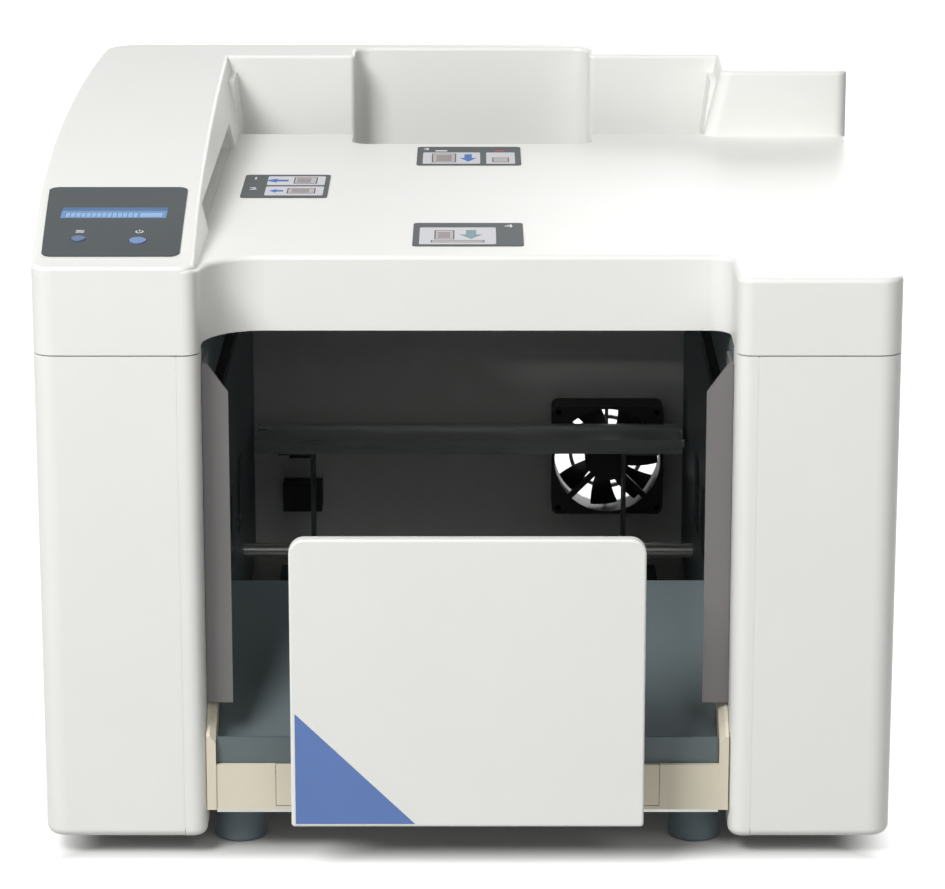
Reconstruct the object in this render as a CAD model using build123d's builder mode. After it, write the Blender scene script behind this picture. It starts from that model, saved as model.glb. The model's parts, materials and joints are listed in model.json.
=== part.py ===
"""A table-top thermal binding machine: a hinged top cover over a heater, clamp carriage and tray.

X runs to the right as seen from the front, Y to the rear and Z up. The origin lies on the table,
under the middle of the machine. All sizes are in millimetres.
"""

import os
from math import asin, copysign, cos, degrees, radians, sin, sqrt, tan

from build123d import *

os.makedirs("parts", exist_ok=True)


# ---- Driving dimensions -------------------------------------------------------------------------

# Body
front_width = 500.0  # over the pillars' front faces
body_width = 524.0  # over the bowed sides
bow_length = 300.0  # the sides bow outwards over this length, and in again behind it
body_depth = 554.5  # pillars' front faces to the rear face
gate_reach = 33.0  # the gate stands this far in front of the pillars
hinge_reach = 5.5  # the hinge knuckles stand this far behind the rear face
floor_gap = 12.0  # pillars' bottoms above the table
wall = 3.0  # moulded walls
seam_height = 294.0  # above the pillars' bottoms, as are the next four
deck_height = 340.0
brow_height = 341.0  # console top at its front edge
crown_height = 366.0  # console top where its two arcs meet
hood_height = 387.5
crown_depth = 178.0  # where the two arcs meet, behind the front faces
crown_slope = 5.4  # degrees, there
seam_gap = 0.8

# Bay, bridge and corners
bay_width = 310.0
bridge_setback = 63.0
bridge_corner = 35.0  # console to bridge
shoulder_corner = 12.0
pillar_inner_corner = 9.0
pillar_outer_corner = 13.0
rear_corner = 24.0
block_inner_corner = 8.5  # right block, beside the deck
block_outer_corner = 8.0  # right block, at the body's side
deck_edge = 3.0
console_edge = 2.5

# Console, right block, hood and feed well
console_wall_x = -157.0  # console's inner wall at deck level
block_wall_x = 162.0  # right block's inner wall at deck level
wall_lean = 13.0  # degrees; both walls lean outwards
block_setback = 452.0
well_front = 460.0
well_rear = 511.0
scoop_left = -79.0
scoop_right = 84.0
scoop_front = 423.0
scoop_rear = 540.0
scoop_corner = 11.0
scoop_mouth = wall + 0.5  # half a millimetre stays for the round behind the wall
ledge_front = 470.0  # the well's end walls stand steeper from here back
ledge_height = 375.0
ledge_lean = 7.0  # degrees
ledge_area = 1000.0  # mm2; roof faces are larger than this and ledges smaller

# Gauge slot in the console's inner wall
gauge_front = 136.0
gauge_rear = 410.0
gauge_height = 16.5
gauge_pocket = 55.0

# Control fascia, window and buttons
fascia_front = 30.0
fascia_rear = 150.0
fascia_left = -250.0
fascia_right = -168.5
fascia_skin = 0.8
fascia_corner = 6.0
window_size = (63.0, 19.0, 0.7)
window_place = (-210.5, 101.0)
menu_button_size = (8.2, -228.0, 56.5)  # diameter, across, behind the front faces
power_button_size = (10.0, -193.0, 53.5)
button_travel = 1.0
button_proud = 0.7  # above the fascia
button_play = 0.3
window_rim = 4.0  # the cover's opening is this much smaller than the window

# Deck plates: left, right, front, rear
label_plates = ((-144.0, -89.0, 236.0, 311.0), (-34.0, 35.0, 345.0, 410.0), (-33.0, 33.5, 89.0, 156.0))
label_skin = 0.5
label_corner = 3.0

# Frame
sheet = 2.0
plate_front = 27.0
plate_rear = 545.0
base_height = 14.0  # underside of the base plate, above the pillars' bottoms
foot_x = 137.0
foot_front = 40.0
foot_rear = 505.0
foot_radius = 16.0

# Tray, gate and paper fins
gate_width = 206.0
gate_bottom = 19.0
gate_top = 194.0
gate_thick = 9.5
gate_corner = 9.0
inlay_size = (70.0, 68.0)
inlay_inset = (2.5, 1.8)
inlay_depth = 0.8
rail_setback = 5.0
rail_bottom = 18.0
rail_top = 44.0
drawer_width = 228.0
cheek_width = 5.5
cheek_top = 62.0
lip_top = 60.0
floor_start = 12.0
floor_end = 127.0
floor_slope = 34.0  # degrees
tray_travel = 60.0
fin_setback = 20.0
fin_reach = 15.6
fin_top = 285.0
fin_chamfer = 17.0

# Heater
heater_size = (300.0, 46.0, 8.0)
heater_middle = 485.5
heater_top = 122.0
bracket_places = (-110.0, 110.0)  # two bent sheet stands
bracket_half = 20.0
bracket_flange = 24.0

# Guide rods, carriage and jaws
rod_radius = 6.0
rod_x = 179.0
rod_height = 235.0
rod_front = 62.0
rod_rear = 549.0
bracket_front = 14.0
bracket_rear = 11.0
rod_fit = 0.05
slot_height = 30.0
carriage_travel = 350.0
jaw_travel = 55.0
jaw_width = 280.0
jaw_height = 46.0
jaw_thick = 9.0
pad_thick = 3.0
pad_margin = 4.0
groove_count = 13
groove_pitch = 20.0
groove_width = 2.0
groove_depth = 1.0
jaw_clear = 3.0  # open jaws clear the well's front and rear edges
block_length = 24.0  # the sliding blocks at the jaws' ends
block_width = 29.0
block_height = 32.0
grip_half = 3.5  # the belt clamp runs between the pulleys' flanges
actuator_radius = 8.0
plunger_radius = 3.0
actuator_length = 67.0

# Drive
shaft_setback = 528.5
shaft_height = 200.0
shaft_radius = 5.0
idler_setback = 84.0
belt_x = 205.0
belt_width = 8.0
belt_thick = 1.5
belt_gap = 0.3
pulley_radius = 11.0
driven_radius = 18.0
pinion_radius = 8.0
motor_belt_x = 222.0
motor_setback = 470.0
motor_height = 130.0

# Motor: square body, round gearbox and output shaft
motor_half = 21.0
motor_reach = 182.0
gearbox_radius = 18.0
gearbox_reach = 213.0
output_radius = 3.0
output_reach = 229.0

# Base plate and tie bars
base_plate_width = 452.0
base_plate_front = 28.0
base_plate_rear = 546.0
base_tongue_width = 298.0
base_tongue_front = 6.0
tie_radius = 5.0
tie_places = ((170.0, 44.0), (400.0, 60.0))  # behind the front faces, height

# Power supply and control board
supply_x = (173.0, 233.0)
supply_setbacks = (310.0, 460.0)
supply_top = 62.0
board_stand = 6.0
board_skin = 1.6
board_setbacks = (120.0, 280.0)
board_heights = (60.0, 150.0)

# Fan and its window
fan_size = 80.0
fan_depth = 25.0
fan_x = 100.0
fan_height = 90.0
fan_hub_radius = 16.0
grille_rings = (14.0, 26.0)
grille_bar = 2.6

# Rear panel, mains inlet and switch
panel_half = 212.0
louvre_size = (64.0, 3.6)
louvre_pitch = 9.0
louvre_count = 6
louvre_x = 60.0
louvre_height = 210.0
inlet_x = -120.0
inlet_height = 60.0
inlet_body = (28.0, 20.0)
switch_height = 95.0
switch_body = (19.0, 13.0)
rocker_half = 4.6
rocker_width = 15.2
rocker_skew = 0.8  # one edge stands this much further out, the other further in
rocker_pivot = 3.0  # inside the rear face
rocker_pin = (1.2, 17.6)  # radius, length
screw_radius = 3.2
screw_head = 1.4
panel_screws = ((-200, 22), (-70, 22), (70, 22), (200, 22), (-70, 268), (70, 268))

# Hinges
hinge_x = 170.0
knuckle_radius = 3.5
pin_radius = 1.5
leaf_width = 50.0
leaf_height = 24.0
leaf_thick = 1.5
tongue = 20.0
hinge_play = 0.4
leaf_play = 0.3
leaf_seat_lap = 5.0
knuckle_play = 0.5


# ---- Places that follow from them ---------------------------------------------------------------

front_y = gate_reach - (gate_reach + body_depth + hinge_reach) / 2
rear_y = front_y + body_depth
half_front = front_width / 2
half_body = body_width / 2
half_bay = bay_width / 2
seam_z = floor_gap + seam_height
deck_z = floor_gap + deck_height
base_z = floor_gap + base_height
base_top_z = base_z + sheet
rod_z = floor_gap + rod_height
shaft_z = floor_gap + shaft_height
shaft_y = front_y + shaft_setback
lean = tan(radians(wall_lean))
bow_radius = (bow_length**2 + (half_body - half_front) ** 2) / (2 * (half_body - half_front))
half_rear = half_body - bow_radius + sqrt(bow_radius**2 - (body_depth - bow_length) ** 2)
over = 60.0  # cutters reach this far past what they cut


def save(piece, name):
    """Label a finished piece and write it."""
    piece.label = name
    export_step(piece, f"parts/{name}.step")


# ---- The roof line of console and hood: two arcs that meet in a common slope ---------------------

crown_point = (front_y + crown_depth, floor_gap + crown_height)
crown_run = (cos(radians(crown_slope)), sin(radians(crown_slope)))
brow_arc = TangentArc(
    [crown_point, (front_y, floor_gap + brow_height)], tangent=(-crown_run[0], -crown_run[1])
)
hood_arc = TangentArc([crown_point, (rear_y, floor_gap + hood_height)], tangent=crown_run)


def roof(setback):
    """Height of the roof and its slope in degrees, at a distance behind the front faces."""
    arc = brow_arc if setback < crown_depth else hood_arc
    middle = arc.arc_center
    run = front_y + setback - middle.X
    height = middle.Y + sqrt(arc.radius**2 - run**2)
    return height, -degrees(asin(run / arc.radius))


def roof_solid(drop, left, right, low_z):
    """Everything under the roof line, lowered by the drop, between two X planes."""
    start = Vector(front_y, floor_gap + brow_height - drop)
    middle = Vector(crown_point[0], crown_point[1] - drop)
    end = Vector(rear_y, floor_gap + hood_height - drop)
    with BuildPart() as solid:
        with BuildSketch(Plane.YZ.offset(left)):
            with BuildLine():
                TangentArc([middle, start], tangent=(-crown_run[0], -crown_run[1]))
                TangentArc([middle, end], tangent=crown_run)
                Polyline(
                    end,
                    (end.X + over, end.Y),
                    (end.X + over, low_z),
                    (start.X - over, low_z),
                    (start.X - over, start.Y),
                    start,
                )
            make_face()
        extrude(amount=right - left)
    return solid.part


def body_plan(inset):
    """Outline of the body from above, with its sides drawn in by the inset."""
    y_front = front_y + inset
    y_bow = front_y + bow_length
    y_rear = rear_y - inset
    x_front = half_front - inset
    x_widest = half_body - inset
    with BuildSketch() as plan:
        with BuildLine():
            TangentArc([(-x_widest, y_bow), (-x_front, y_front)], tangent=(0, -1))
            Line((-x_front, y_front), (x_front, y_front))
            TangentArc([(x_widest, y_bow), (x_front, y_front)], tangent=(0, -1))
            TangentArc([(x_widest, y_bow), (half_rear - inset, y_rear)], tangent=(0, 1))
            TangentArc([(-x_widest, y_bow), (inset - half_rear, y_rear)], tangent=(0, 1))
            Line((half_rear - inset, y_rear), (inset - half_rear, y_rear))
        make_face()
        fillet(plan.vertices().group_by(Axis.Y)[0], radius=pillar_outer_corner - inset)
        fillet(plan.vertices().group_by(Axis.Y)[-1], radius=rear_corner - inset)
    return plan.sketch


def lower_plan(inset):
    """The cover's outline below the deck: the body with the bridge set back over the bay."""
    y_front = front_y + inset
    y_bridge = front_y + bridge_setback + inset
    half = half_bay + inset
    with BuildSketch() as plan:
        add(body_plan(inset))
        with Locations((0, y_bridge - over / 2 - bridge_setback / 2)):
            Rectangle(2 * half, over + bridge_setback, mode=Mode.SUBTRACT)
        corners = plan.vertices().filter_by(lambda v: abs(abs(v.X) - half) < 0.01)
        fillet(corners.group_by(Axis.Y)[0], radius=pillar_inner_corner - inset)
        for side, corner in ((-half, bridge_corner), (half, shoulder_corner)):
            meet = plan.vertices().sort_by_distance((side, y_bridge))[0]
            fillet(meet, radius=corner + inset)
    return plan.sketch


def well_plan(grow):
    """The feed well from above: a slot with a finger scoop on each side."""
    left = console_wall_x - grow
    right = block_wall_x + grow
    front = front_y + well_front - grow
    rear = front_y + well_rear + grow
    scoop_low = front_y + scoop_front - grow
    scoop_high = front_y + scoop_rear + grow
    with BuildSketch() as plan:
        with Locations(((left + right) / 2, (front + rear) / 2)):
            Rectangle(right - left, rear - front)
        with Locations(((scoop_left + scoop_right) / 2, (scoop_low + scoop_high) / 2)):
            Rectangle(scoop_right - scoop_left + 2 * grow, scoop_high - scoop_low)
        inner = plan.vertices().filter_by(lambda v: abs(v.X) < half_bay / 1.5)
        ends = inner.group_by(Axis.Y)[0] + inner.group_by(Axis.Y)[-1]
        fillet(ends, radius=scoop_corner + grow)
        mouths = plan.vertices().filter_by(
            lambda v: abs(v.X) < half_bay / 1.5 and min(abs(v.Y - front), abs(v.Y - rear)) < 0.01
        )
        fillet(mouths, radius=scoop_mouth - grow)
    return plan.sketch


def open_space(grow):
    """The air above the deck and in the well, with its leaning side walls and the ledges in them."""
    left = console_wall_x - grow / cos(radians(wall_lean))
    right = block_wall_x + grow / cos(radians(wall_lean))
    rise = floor_gap + hood_height + over - deck_z
    step = floor_gap + ledge_height - grow - deck_z
    shelf = step * tan(radians(ledge_lean))
    y_step = front_y + ledge_front + grow
    y_rear = front_y + well_rear + grow
    low = seam_z - over
    top = [(left - rise * lean, deck_z + rise), (right + rise * lean, deck_z + rise)]
    ledges = (
        [(left - shelf, deck_z + step), (left - step * lean, deck_z + step)],
        [(right + step * lean, deck_z + step), (right + shelf, deck_z + step)],
    )
    plain = [(left, low), (left, deck_z), *top, (right, deck_z), (right, low)]
    stepped = [(left, low), (left, deck_z), *ledges[0], *top, *ledges[1], (right, deck_z), (right, low)]
    with BuildPart() as space:
        for profile, near, far in ((plain, front_y - over, y_step), (stepped, y_step, y_rear)):
            with BuildSketch(Plane.XZ.offset(-far)):
                with BuildLine():
                    Polyline(*profile, close=True)
                make_face()
            extrude(amount=far - near)
        with BuildSketch(Plane.XY.offset(low)):
            y_block = front_y + block_setback + grow
            with Locations((half_body / 2 + over / 2, (front_y - over + y_block) / 2)):
                Rectangle(half_body + over, y_block - front_y + over)
        extrude(amount=rise + deck_z - low)
    return space.part


def cover_low(inset):
    """The cover's low part, from the skirt at the seam up to the deck."""
    deck = deck_z - inset
    skirt = seam_z + seam_gap - (over if inset else 0)
    with BuildPart() as low:
        with BuildSketch(Plane.XY.offset(skirt)):
            add(lower_plan(inset))
        extrude(amount=deck - skirt)
        if not inset:
            fillet(low.faces().sort_by(Axis.Z)[-1].edges(), radius=deck_edge)
    return low.part


def cover_high(inset):
    """The cover's high part: console, hood and right block, under the roof line."""
    start_z = deck_z - inset - deck_edge - 0.6
    wall_x = console_wall_x - inset / cos(radians(wall_lean))
    y_front = front_y + inset
    with BuildPart() as high:
        with BuildSketch(Plane.XY.offset(start_z)) as plan:
            add(body_plan(inset))
            with Locations((wall_x + half_body, y_front)):
                Rectangle(2 * half_body, over, mode=Mode.SUBTRACT)
            corner = plan.vertices().filter_by(lambda v: abs(v.X - wall_x) < 0.01)
            fillet(corner.sort_by(Axis.Y)[0], radius=pillar_inner_corner - inset)
        extrude(amount=floor_gap + hood_height + over - start_z)
        add(roof_solid(inset, -half_body - over, half_body + over, seam_z), mode=Mode.INTERSECT)
        add(open_space(inset), mode=Mode.SUBTRACT)
        with BuildSketch(Plane.XY.offset(start_z - over)):
            add(well_plan(inset))
        extrude(amount=floor_gap + hood_height + 2 * over, mode=Mode.SUBTRACT)
        if not inset:
            block_y = front_y + block_setback
            uprights = high.edges().filter_by(
                lambda e: abs(e.center().Y - block_y) < 0.01 and e.bounding_box().size.Z > deck_edge
            )
            fillet(uprights.sort_by(Axis.X)[-1], radius=block_outer_corner)
            inner = high.edges().filter_by(
                lambda e: abs(e.center().Y - block_y) < 0.01
                and abs(e.center().X - block_wall_x) < wall_lean
                and e.bounding_box().size.Z > deck_edge
            )
            fillet(inner, radius=block_inner_corner)
            tops = high.faces().filter_by(lambda f: f.normal_at().Z > 0.9 and f.area > ledge_area)
            rims = [edge for face in tops for edge in face.edges()]
            once = [e for e in rims if sum(e.is_same(other) for other in rims) == 1]
            fillet(once, radius=console_edge)
    return high.part


def on_roof(x, setback, lift=0.0):
    """A plane lying on the roof line, lifted along its own normal."""
    height, slope = roof(setback)
    normal = (0, -sin(radians(slope)), cos(radians(slope)))
    return Plane(origin=(x, front_y + setback, height), x_dir=(1, 0, 0), z_dir=normal).offset(lift)


def block(x, y, z):
    """A plain block between two limits on each axis."""
    size = (x[1] - x[0], y[1] - y[0], z[1] - z[0])
    return Pos((x[0] + x[1]) / 2, (y[0] + y[1]) / 2, (z[0] + z[1]) / 2) * Box(*size, mode=Mode.PRIVATE)


def back(near, far):
    """Y limits from two distances behind the pillars' front faces."""
    return (front_y + near, front_y + far)


def up(low, high):
    """Z limits from two heights above the pillars' bottoms."""
    return (floor_gap + low, floor_gap + high)


def bar(radius, start, end):
    """A round bar from one point to another."""
    axis = Vector(end) - Vector(start)
    stand = (Align.CENTER, Align.CENTER, Align.MIN)
    return Plane(origin=start, z_dir=axis) * Cylinder(
        radius, axis.length, align=stand, mode=Mode.PRIVATE
    )


def cover_form(inset):
    """The cover's whole form, drawn in by the inset, with the feed well through it."""
    with BuildPart() as form:
        add(cover_low(inset))
        add(cover_high(inset))
        with BuildSketch(Plane.XY.offset(seam_z - over)):
            add(well_plan(inset))
        extrude(amount=deck_z - seam_z + 2 * over, mode=Mode.SUBTRACT)
    return form.part


# ---- Top cover ----------------------------------------------------------------------------------

hinge_y = rear_y + hinge_reach - knuckle_radius
hinge_z = seam_z + seam_gap / 2
button_holes = (menu_button_size, power_button_size)


def hinge_seat(x, side):
    """What a hinge at x takes out of a wall: its leaf's seat and room round its knuckles."""
    reach = (x - leaf_width / 2 - leaf_play, x + leaf_width / 2 + leaf_play)
    ends = sorted((hinge_z - side * leaf_seat_lap, hinge_z + side * (leaf_height + leaf_play)))
    seat = block(reach, (rear_y - leaf_thick, rear_y + 1), ends)
    room = knuckle_radius + knuckle_play
    return seat, bar(room, (reach[0], hinge_y, hinge_z), (reach[1], hinge_y, hinge_z))


with BuildPart() as top_cover:
    add(cover_form(0))
    add(cover_form(wall), mode=Mode.SUBTRACT)
    # gauge slot through the console's inner wall
    add(
        block(
            (console_wall_x - 3 * wall, console_wall_x + wall),
            back(gauge_front, gauge_rear),
            (deck_z, deck_z + gauge_height),
        ),
        mode=Mode.SUBTRACT,
    )
    # opening under the display window, and the two button holes
    with BuildSketch(on_roof(*window_place, lift=wall)):
        Rectangle(window_size[0] - window_rim, window_size[1] - window_rim)
    extrude(amount=-3 * wall, mode=Mode.SUBTRACT)
    for diameter, x, setback in button_holes:
        with BuildSketch(on_roof(x, setback, lift=wall)):
            Circle(diameter / 2 + button_play)
        extrude(amount=-3 * wall, mode=Mode.SUBTRACT)
    for x in (-hinge_x, hinge_x):
        for seat in hinge_seat(x, 1):
            add(seat, mode=Mode.SUBTRACT)
save(top_cover.part, "top_cover")


# ---- Control fascia, window, buttons and their board --------------------------------------------

with BuildPart() as control_fascia:
    with BuildSketch(Plane.XY.offset(deck_z)) as outline:
        with BuildLine():
            Polyline(
                (fascia_left + 3, front_y + fascia_front),
                (fascia_right + 1.5, front_y + fascia_front),
                (fascia_right - 1.5, front_y + fascia_rear),
                (fascia_left - 4, front_y + fascia_rear),
                close=True,
            )
        make_face()
        fillet(outline.vertices(), radius=fascia_corner)
    extrude(amount=over)
    add(roof_solid(-fascia_skin, -half_body - over, 0, seam_z), mode=Mode.INTERSECT)
    add(roof_solid(-0.05, -half_body - over, 0, seam_z), mode=Mode.SUBTRACT)
    with BuildSketch(on_roof(*window_place, lift=wall)):
        Rectangle(window_size[0] + 0.2, window_size[1] + 0.2)
    extrude(amount=-2 * wall, mode=Mode.SUBTRACT)
    for diameter, x, setback in button_holes:
        with BuildSketch(on_roof(x, setback, lift=wall)):
            Circle(diameter / 2 + button_play)
        extrude(amount=-2 * wall, mode=Mode.SUBTRACT)
save(control_fascia.part, "control_fascia")

with BuildPart() as display_window:
    with BuildSketch(on_roof(*window_place, lift=fascia_skin - window_size[2] + 0.02)):
        Rectangle(window_size[0], window_size[1])
    extrude(amount=window_size[2])
save(display_window.part, "display_window")


def push_button(diameter, x, setback):
    """A push button: a domed cap, a stem through the cover and a collar that keeps it in."""
    radius = diameter / 2
    with BuildPart() as button:
        with BuildSketch(on_roof(x, setback, lift=-wall - 1.4)):
            Circle(radius + 1.4)
        extrude(amount=1.0)
        with BuildSketch(on_roof(x, setback, lift=-wall - 0.6)):
            Circle(radius)
        extrude(amount=wall + 0.6 + fascia_skin + button_proud)
        fillet(button.edges().filter_by(GeomType.CIRCLE).sort_by(Axis.Z)[-1], radius=0.6)
    return button.part


for name, hole in (("menu_button", menu_button_size), ("power_button", power_button_size)):
    save(push_button(*hole), name)

board_place = (window_place[0], 84.0)
board_drop = wall + 6.5
with BuildPart() as panel_board:
    with BuildSketch(on_roof(*board_place, lift=-board_drop)):
        RectangleRounded(74, 70, 3)
    extrude(amount=-1.6)
    with BuildSketch(on_roof(*board_place, lift=-board_drop)):
        with GridLocations(66, 62, 2, 2):
            Rectangle(4.5, 4.5)
    extrude(amount=board_drop - wall - 0.45)
    with BuildSketch(on_roof(*window_place, lift=-board_drop - 0.4)):
        Rectangle(window_size[0] - 6, window_size[1] + 2)
    extrude(amount=board_drop - wall - 0.4)
    for diameter, x, setback in button_holes:
        with BuildSketch(on_roof(x, setback, lift=-board_drop - 0.4)):
            Rectangle(6, 6)
        extrude(amount=board_drop + 0.4 - wall - 1.4 - button_travel - 0.2)
save(panel_board.part, "panel_board")


# ---- Gauge shelf and feeler ---------------------------------------------------------------------

shelf_left = console_wall_x - gauge_pocket
ceiling_z = deck_z + gauge_height
feeler_x = -195.0
feeler_pivot = (front_y + 300.0, ceiling_z + 6.0)
feeler_tip = (front_y + 268.0, deck_z + 3.0)
feeler_width = 8.0
shelf_skin = 1.6
shelf_play = 0.25  # the shelf keeps this far below the cover's roof
with BuildPart() as gauge_shelf:
    add(
        block(
            (shelf_left - shelf_skin, console_wall_x),
            back(gauge_front - shelf_skin, gauge_rear + shelf_skin),
            (deck_z - shelf_skin, ceiling_z + shelf_skin),
        )
    )
    add(
        roof_solid(wall + shelf_play, shelf_left - over, console_wall_x + over, seam_z),
        mode=Mode.INTERSECT,
    )
    add(
        block(
            (shelf_left, console_wall_x + over), back(gauge_front, gauge_rear), (deck_z, ceiling_z)
        ),
        mode=Mode.SUBTRACT,
    )
    add(open_space(wall + 0.2), mode=Mode.SUBTRACT)
    slot = (feeler_x - feeler_width / 2 - 1, feeler_x + feeler_width / 2 + 1)
    add(
        block(slot, (feeler_tip[0] - 9, feeler_pivot[0] + 6), (ceiling_z - 1, ceiling_z + 2 * sheet)),
        mode=Mode.SUBTRACT,
    )
    for side in (-1, 1):
        near = feeler_x + side * (feeler_width / 2 + 1)
        far = near + side * sheet
        ear = (min(near, far), max(near, far))
        add(
            block(
                ear,
                (feeler_pivot[0] - 5, feeler_pivot[0] + 5),
                (ceiling_z + sheet / 2, feeler_pivot[1] + 5),
            )
        )
    pin_start = (feeler_x - feeler_width, feeler_pivot[0], feeler_pivot[1])
    pin_end = (feeler_x + feeler_width, feeler_pivot[0], feeler_pivot[1])
    add(bar(pin_radius + 0.02, pin_start, pin_end), mode=Mode.SUBTRACT)
save(gauge_shelf.part, "gauge_shelf")

with BuildPart() as feeler_pin:
    add(bar(pin_radius, pin_start, pin_end))
save(feeler_pin.part, "feeler_pin")

with BuildPart() as gauge_feeler:
    with BuildSketch(Plane.YZ.offset(feeler_x - feeler_width / 2)):
        with Locations(feeler_pivot):
            Circle(3.5)
        with Locations(feeler_tip):
            Circle(2.2)
        make_hull()
        with Locations(feeler_pivot):
            Circle(pin_radius + rod_fit, mode=Mode.SUBTRACT)
    extrude(amount=feeler_width)
save(gauge_feeler.part, "gauge_feeler")


# ---- Instruction plates on the deck -------------------------------------------------------------

with BuildPart() as deck_labels:
    for left, right, near, far in label_plates:
        with BuildSketch(Plane.XY.offset(deck_z)):
            with Locations(((left + right) / 2, front_y + (near + far) / 2)):
                RectangleRounded(right - left, far - near, label_corner)
        extrude(amount=label_skin)
save(deck_labels.part, "deck_labels")


# ---- Hinges: a leaf on the rear panel, a leaf on the cover, and a pin -----------------------------


def hinge_leaf(x, side):
    """One leaf with its knuckles; side is -1 below the seam and 1 above it."""
    ends = (x - leaf_width / 2, x + leaf_width / 2)
    clear = knuckle_radius + knuckle_play
    if side < 0:
        knuckles = [(x - tongue / 2, x + tongue / 2)]
    else:
        gap = tongue / 2 + hinge_play
        knuckles = [(ends[0], x - gap), (x + gap, ends[1])]
    plate_z = sorted((hinge_z + side * clear, hinge_z + side * leaf_height))
    neck_z = sorted((hinge_z, hinge_z + side * (clear + 1)))
    with BuildPart() as leaf:
        add(block(ends, (rear_y - leaf_thick, rear_y), plate_z))
        for knuckle in knuckles:
            add(block(knuckle, (rear_y - leaf_thick, rear_y), neck_z))
            add(bar(knuckle_radius, (knuckle[0], hinge_y, hinge_z), (knuckle[1], hinge_y, hinge_z)))
        first, last = (ends[0] - 1, hinge_y, hinge_z), (ends[1] + 1, hinge_y, hinge_z)
        add(bar(pin_radius + rod_fit, first, last), mode=Mode.SUBTRACT)
    return leaf.part


for name, side in (("base_hinge_leaves", -1), ("cover_hinge_leaves", 1)):
    with BuildPart() as leaves:
        for x in (-hinge_x, hinge_x):
            add(hinge_leaf(x, side))
    save(leaves.part, name)

with BuildPart() as hinge_pins:
    for x in (-hinge_x, hinge_x):
        reach = leaf_width / 2
        add(bar(pin_radius, (x - reach, hinge_y, hinge_z), (x + reach, hinge_y, hinge_z)))
save(hinge_pins.part, "hinge_pins")


# ---- Side casings and bay trims -----------------------------------------------------------------

trim_width = 12.6
trim_depth = 25.0
bottom_round = 5.0
hairline = 0.3
boss_places = ((-218.0, 60.0), (-218.0, 300.0), (-218.0, 500.0))
casing_edge = -half_bay - trim_width - hairline

with BuildPart() as left_side_casing:
    with BuildSketch(Plane.XY.offset(floor_gap)):
        add(body_plan(0))
        with Locations((casing_edge - half_body / 2, 0)):
            Rectangle(half_body, body_depth + 2 * over, mode=Mode.INTERSECT)
    extrude(amount=seam_height)
    skirting = left_side_casing.faces().sort_by(Axis.Z)[0].edges()
    fillet(skirting.filter_by(lambda e: e.center().X < casing_edge - 0.01), radius=bottom_round)
    with BuildSketch(Plane.XY.offset(floor_gap + wall)):
        add(body_plan(wall))
    extrude(amount=seam_height + over, mode=Mode.SUBTRACT)
    add(
        block((-panel_half - hairline, 0), (rear_y - 2 * wall, rear_y + over), (0, seam_z + over)),
        mode=Mode.SUBTRACT,
    )
    for x, setback in boss_places:
        with BuildSketch(Plane.XY.offset(floor_gap + wall)):
            with Locations((x, front_y + setback)):
                Circle(6)
        extrude(amount=base_height - wall)
save(left_side_casing.part, "left_side_casing")
save(mirror(left_side_casing.part, about=Plane.YZ), "right_side_casing")

with BuildPart() as left_bay_trim:
    for shrink, start_z in ((0.0, floor_gap), (wall, floor_gap + wall)):
        with BuildSketch(Plane.XY.offset(start_z)) as trim_plan:
            width = trim_width - shrink + (over if shrink else 0)
            depth = trim_depth - shrink + (over if shrink else 0)
            with Locations((-half_bay - shrink - width / 2, front_y + shrink + depth / 2)):
                Rectangle(width, depth)
            corner = trim_plan.vertices().sort_by(lambda v: v.X - v.Y)[-1]
            fillet(corner, radius=pillar_inner_corner - shrink)
        if shrink:
            extrude(amount=seam_height + over, mode=Mode.SUBTRACT)
        else:
            extrude(amount=seam_height)
            foot_face = left_bay_trim.faces().sort_by(Axis.Z)[0]
            shown = foot_face.edges().filter_by(
                lambda e: e.center().X > -half_bay - trim_width + 0.1
                and e.center().Y < front_y + trim_depth - 0.1
            )
            fillet(shown, radius=bottom_round - 0.5)
save(left_bay_trim.part, "left_bay_trim")
save(mirror(left_bay_trim.part, about=Plane.YZ), "right_bay_trim")


# ---- Rear panel ---------------------------------------------------------------------------------

panel_face = Plane.XZ.offset(-rear_y)
panel_cut = wall + 1
with BuildPart() as rear_panel:
    add(block((-panel_half, panel_half), (rear_y - wall, rear_y), (floor_gap + 2, seam_z)))
    with BuildSketch(panel_face):
        with Locations((inlet_x, floor_gap + inlet_height)):
            Rectangle(inlet_body[0] + 0.4, inlet_body[1] + 0.4)
        with Locations((inlet_x, floor_gap + switch_height)):
            Rectangle(switch_body[0] + 0.4, switch_body[1] + 0.4)
        for x in (-louvre_x, louvre_x):
            with Locations((x, floor_gap + louvre_height)):
                with GridLocations(1, louvre_pitch, 1, louvre_count):
                    Rectangle(*louvre_size)
    extrude(amount=panel_cut, both=True, mode=Mode.SUBTRACT)
    with BuildSketch(panel_face):
        with Locations((fan_x, floor_gap + fan_height)):
            Circle(fan_size / 2 - 2)
            for ring in grille_rings[::-1]:
                Circle(ring + grille_bar / 2, mode=Mode.SUBTRACT)
                Circle(ring - grille_bar / 2)
            Rectangle(grille_bar, fan_size, mode=Mode.SUBTRACT)
            Rectangle(fan_size, grille_bar, mode=Mode.SUBTRACT)
    extrude(amount=panel_cut, both=True, mode=Mode.SUBTRACT)
    for x in (-hinge_x, hinge_x):
        for seat in hinge_seat(x, -1):
            add(seat, mode=Mode.SUBTRACT)
save(rear_panel.part, "rear_panel")


# ---- Base plate, feet and frame -----------------------------------------------------------------

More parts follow.
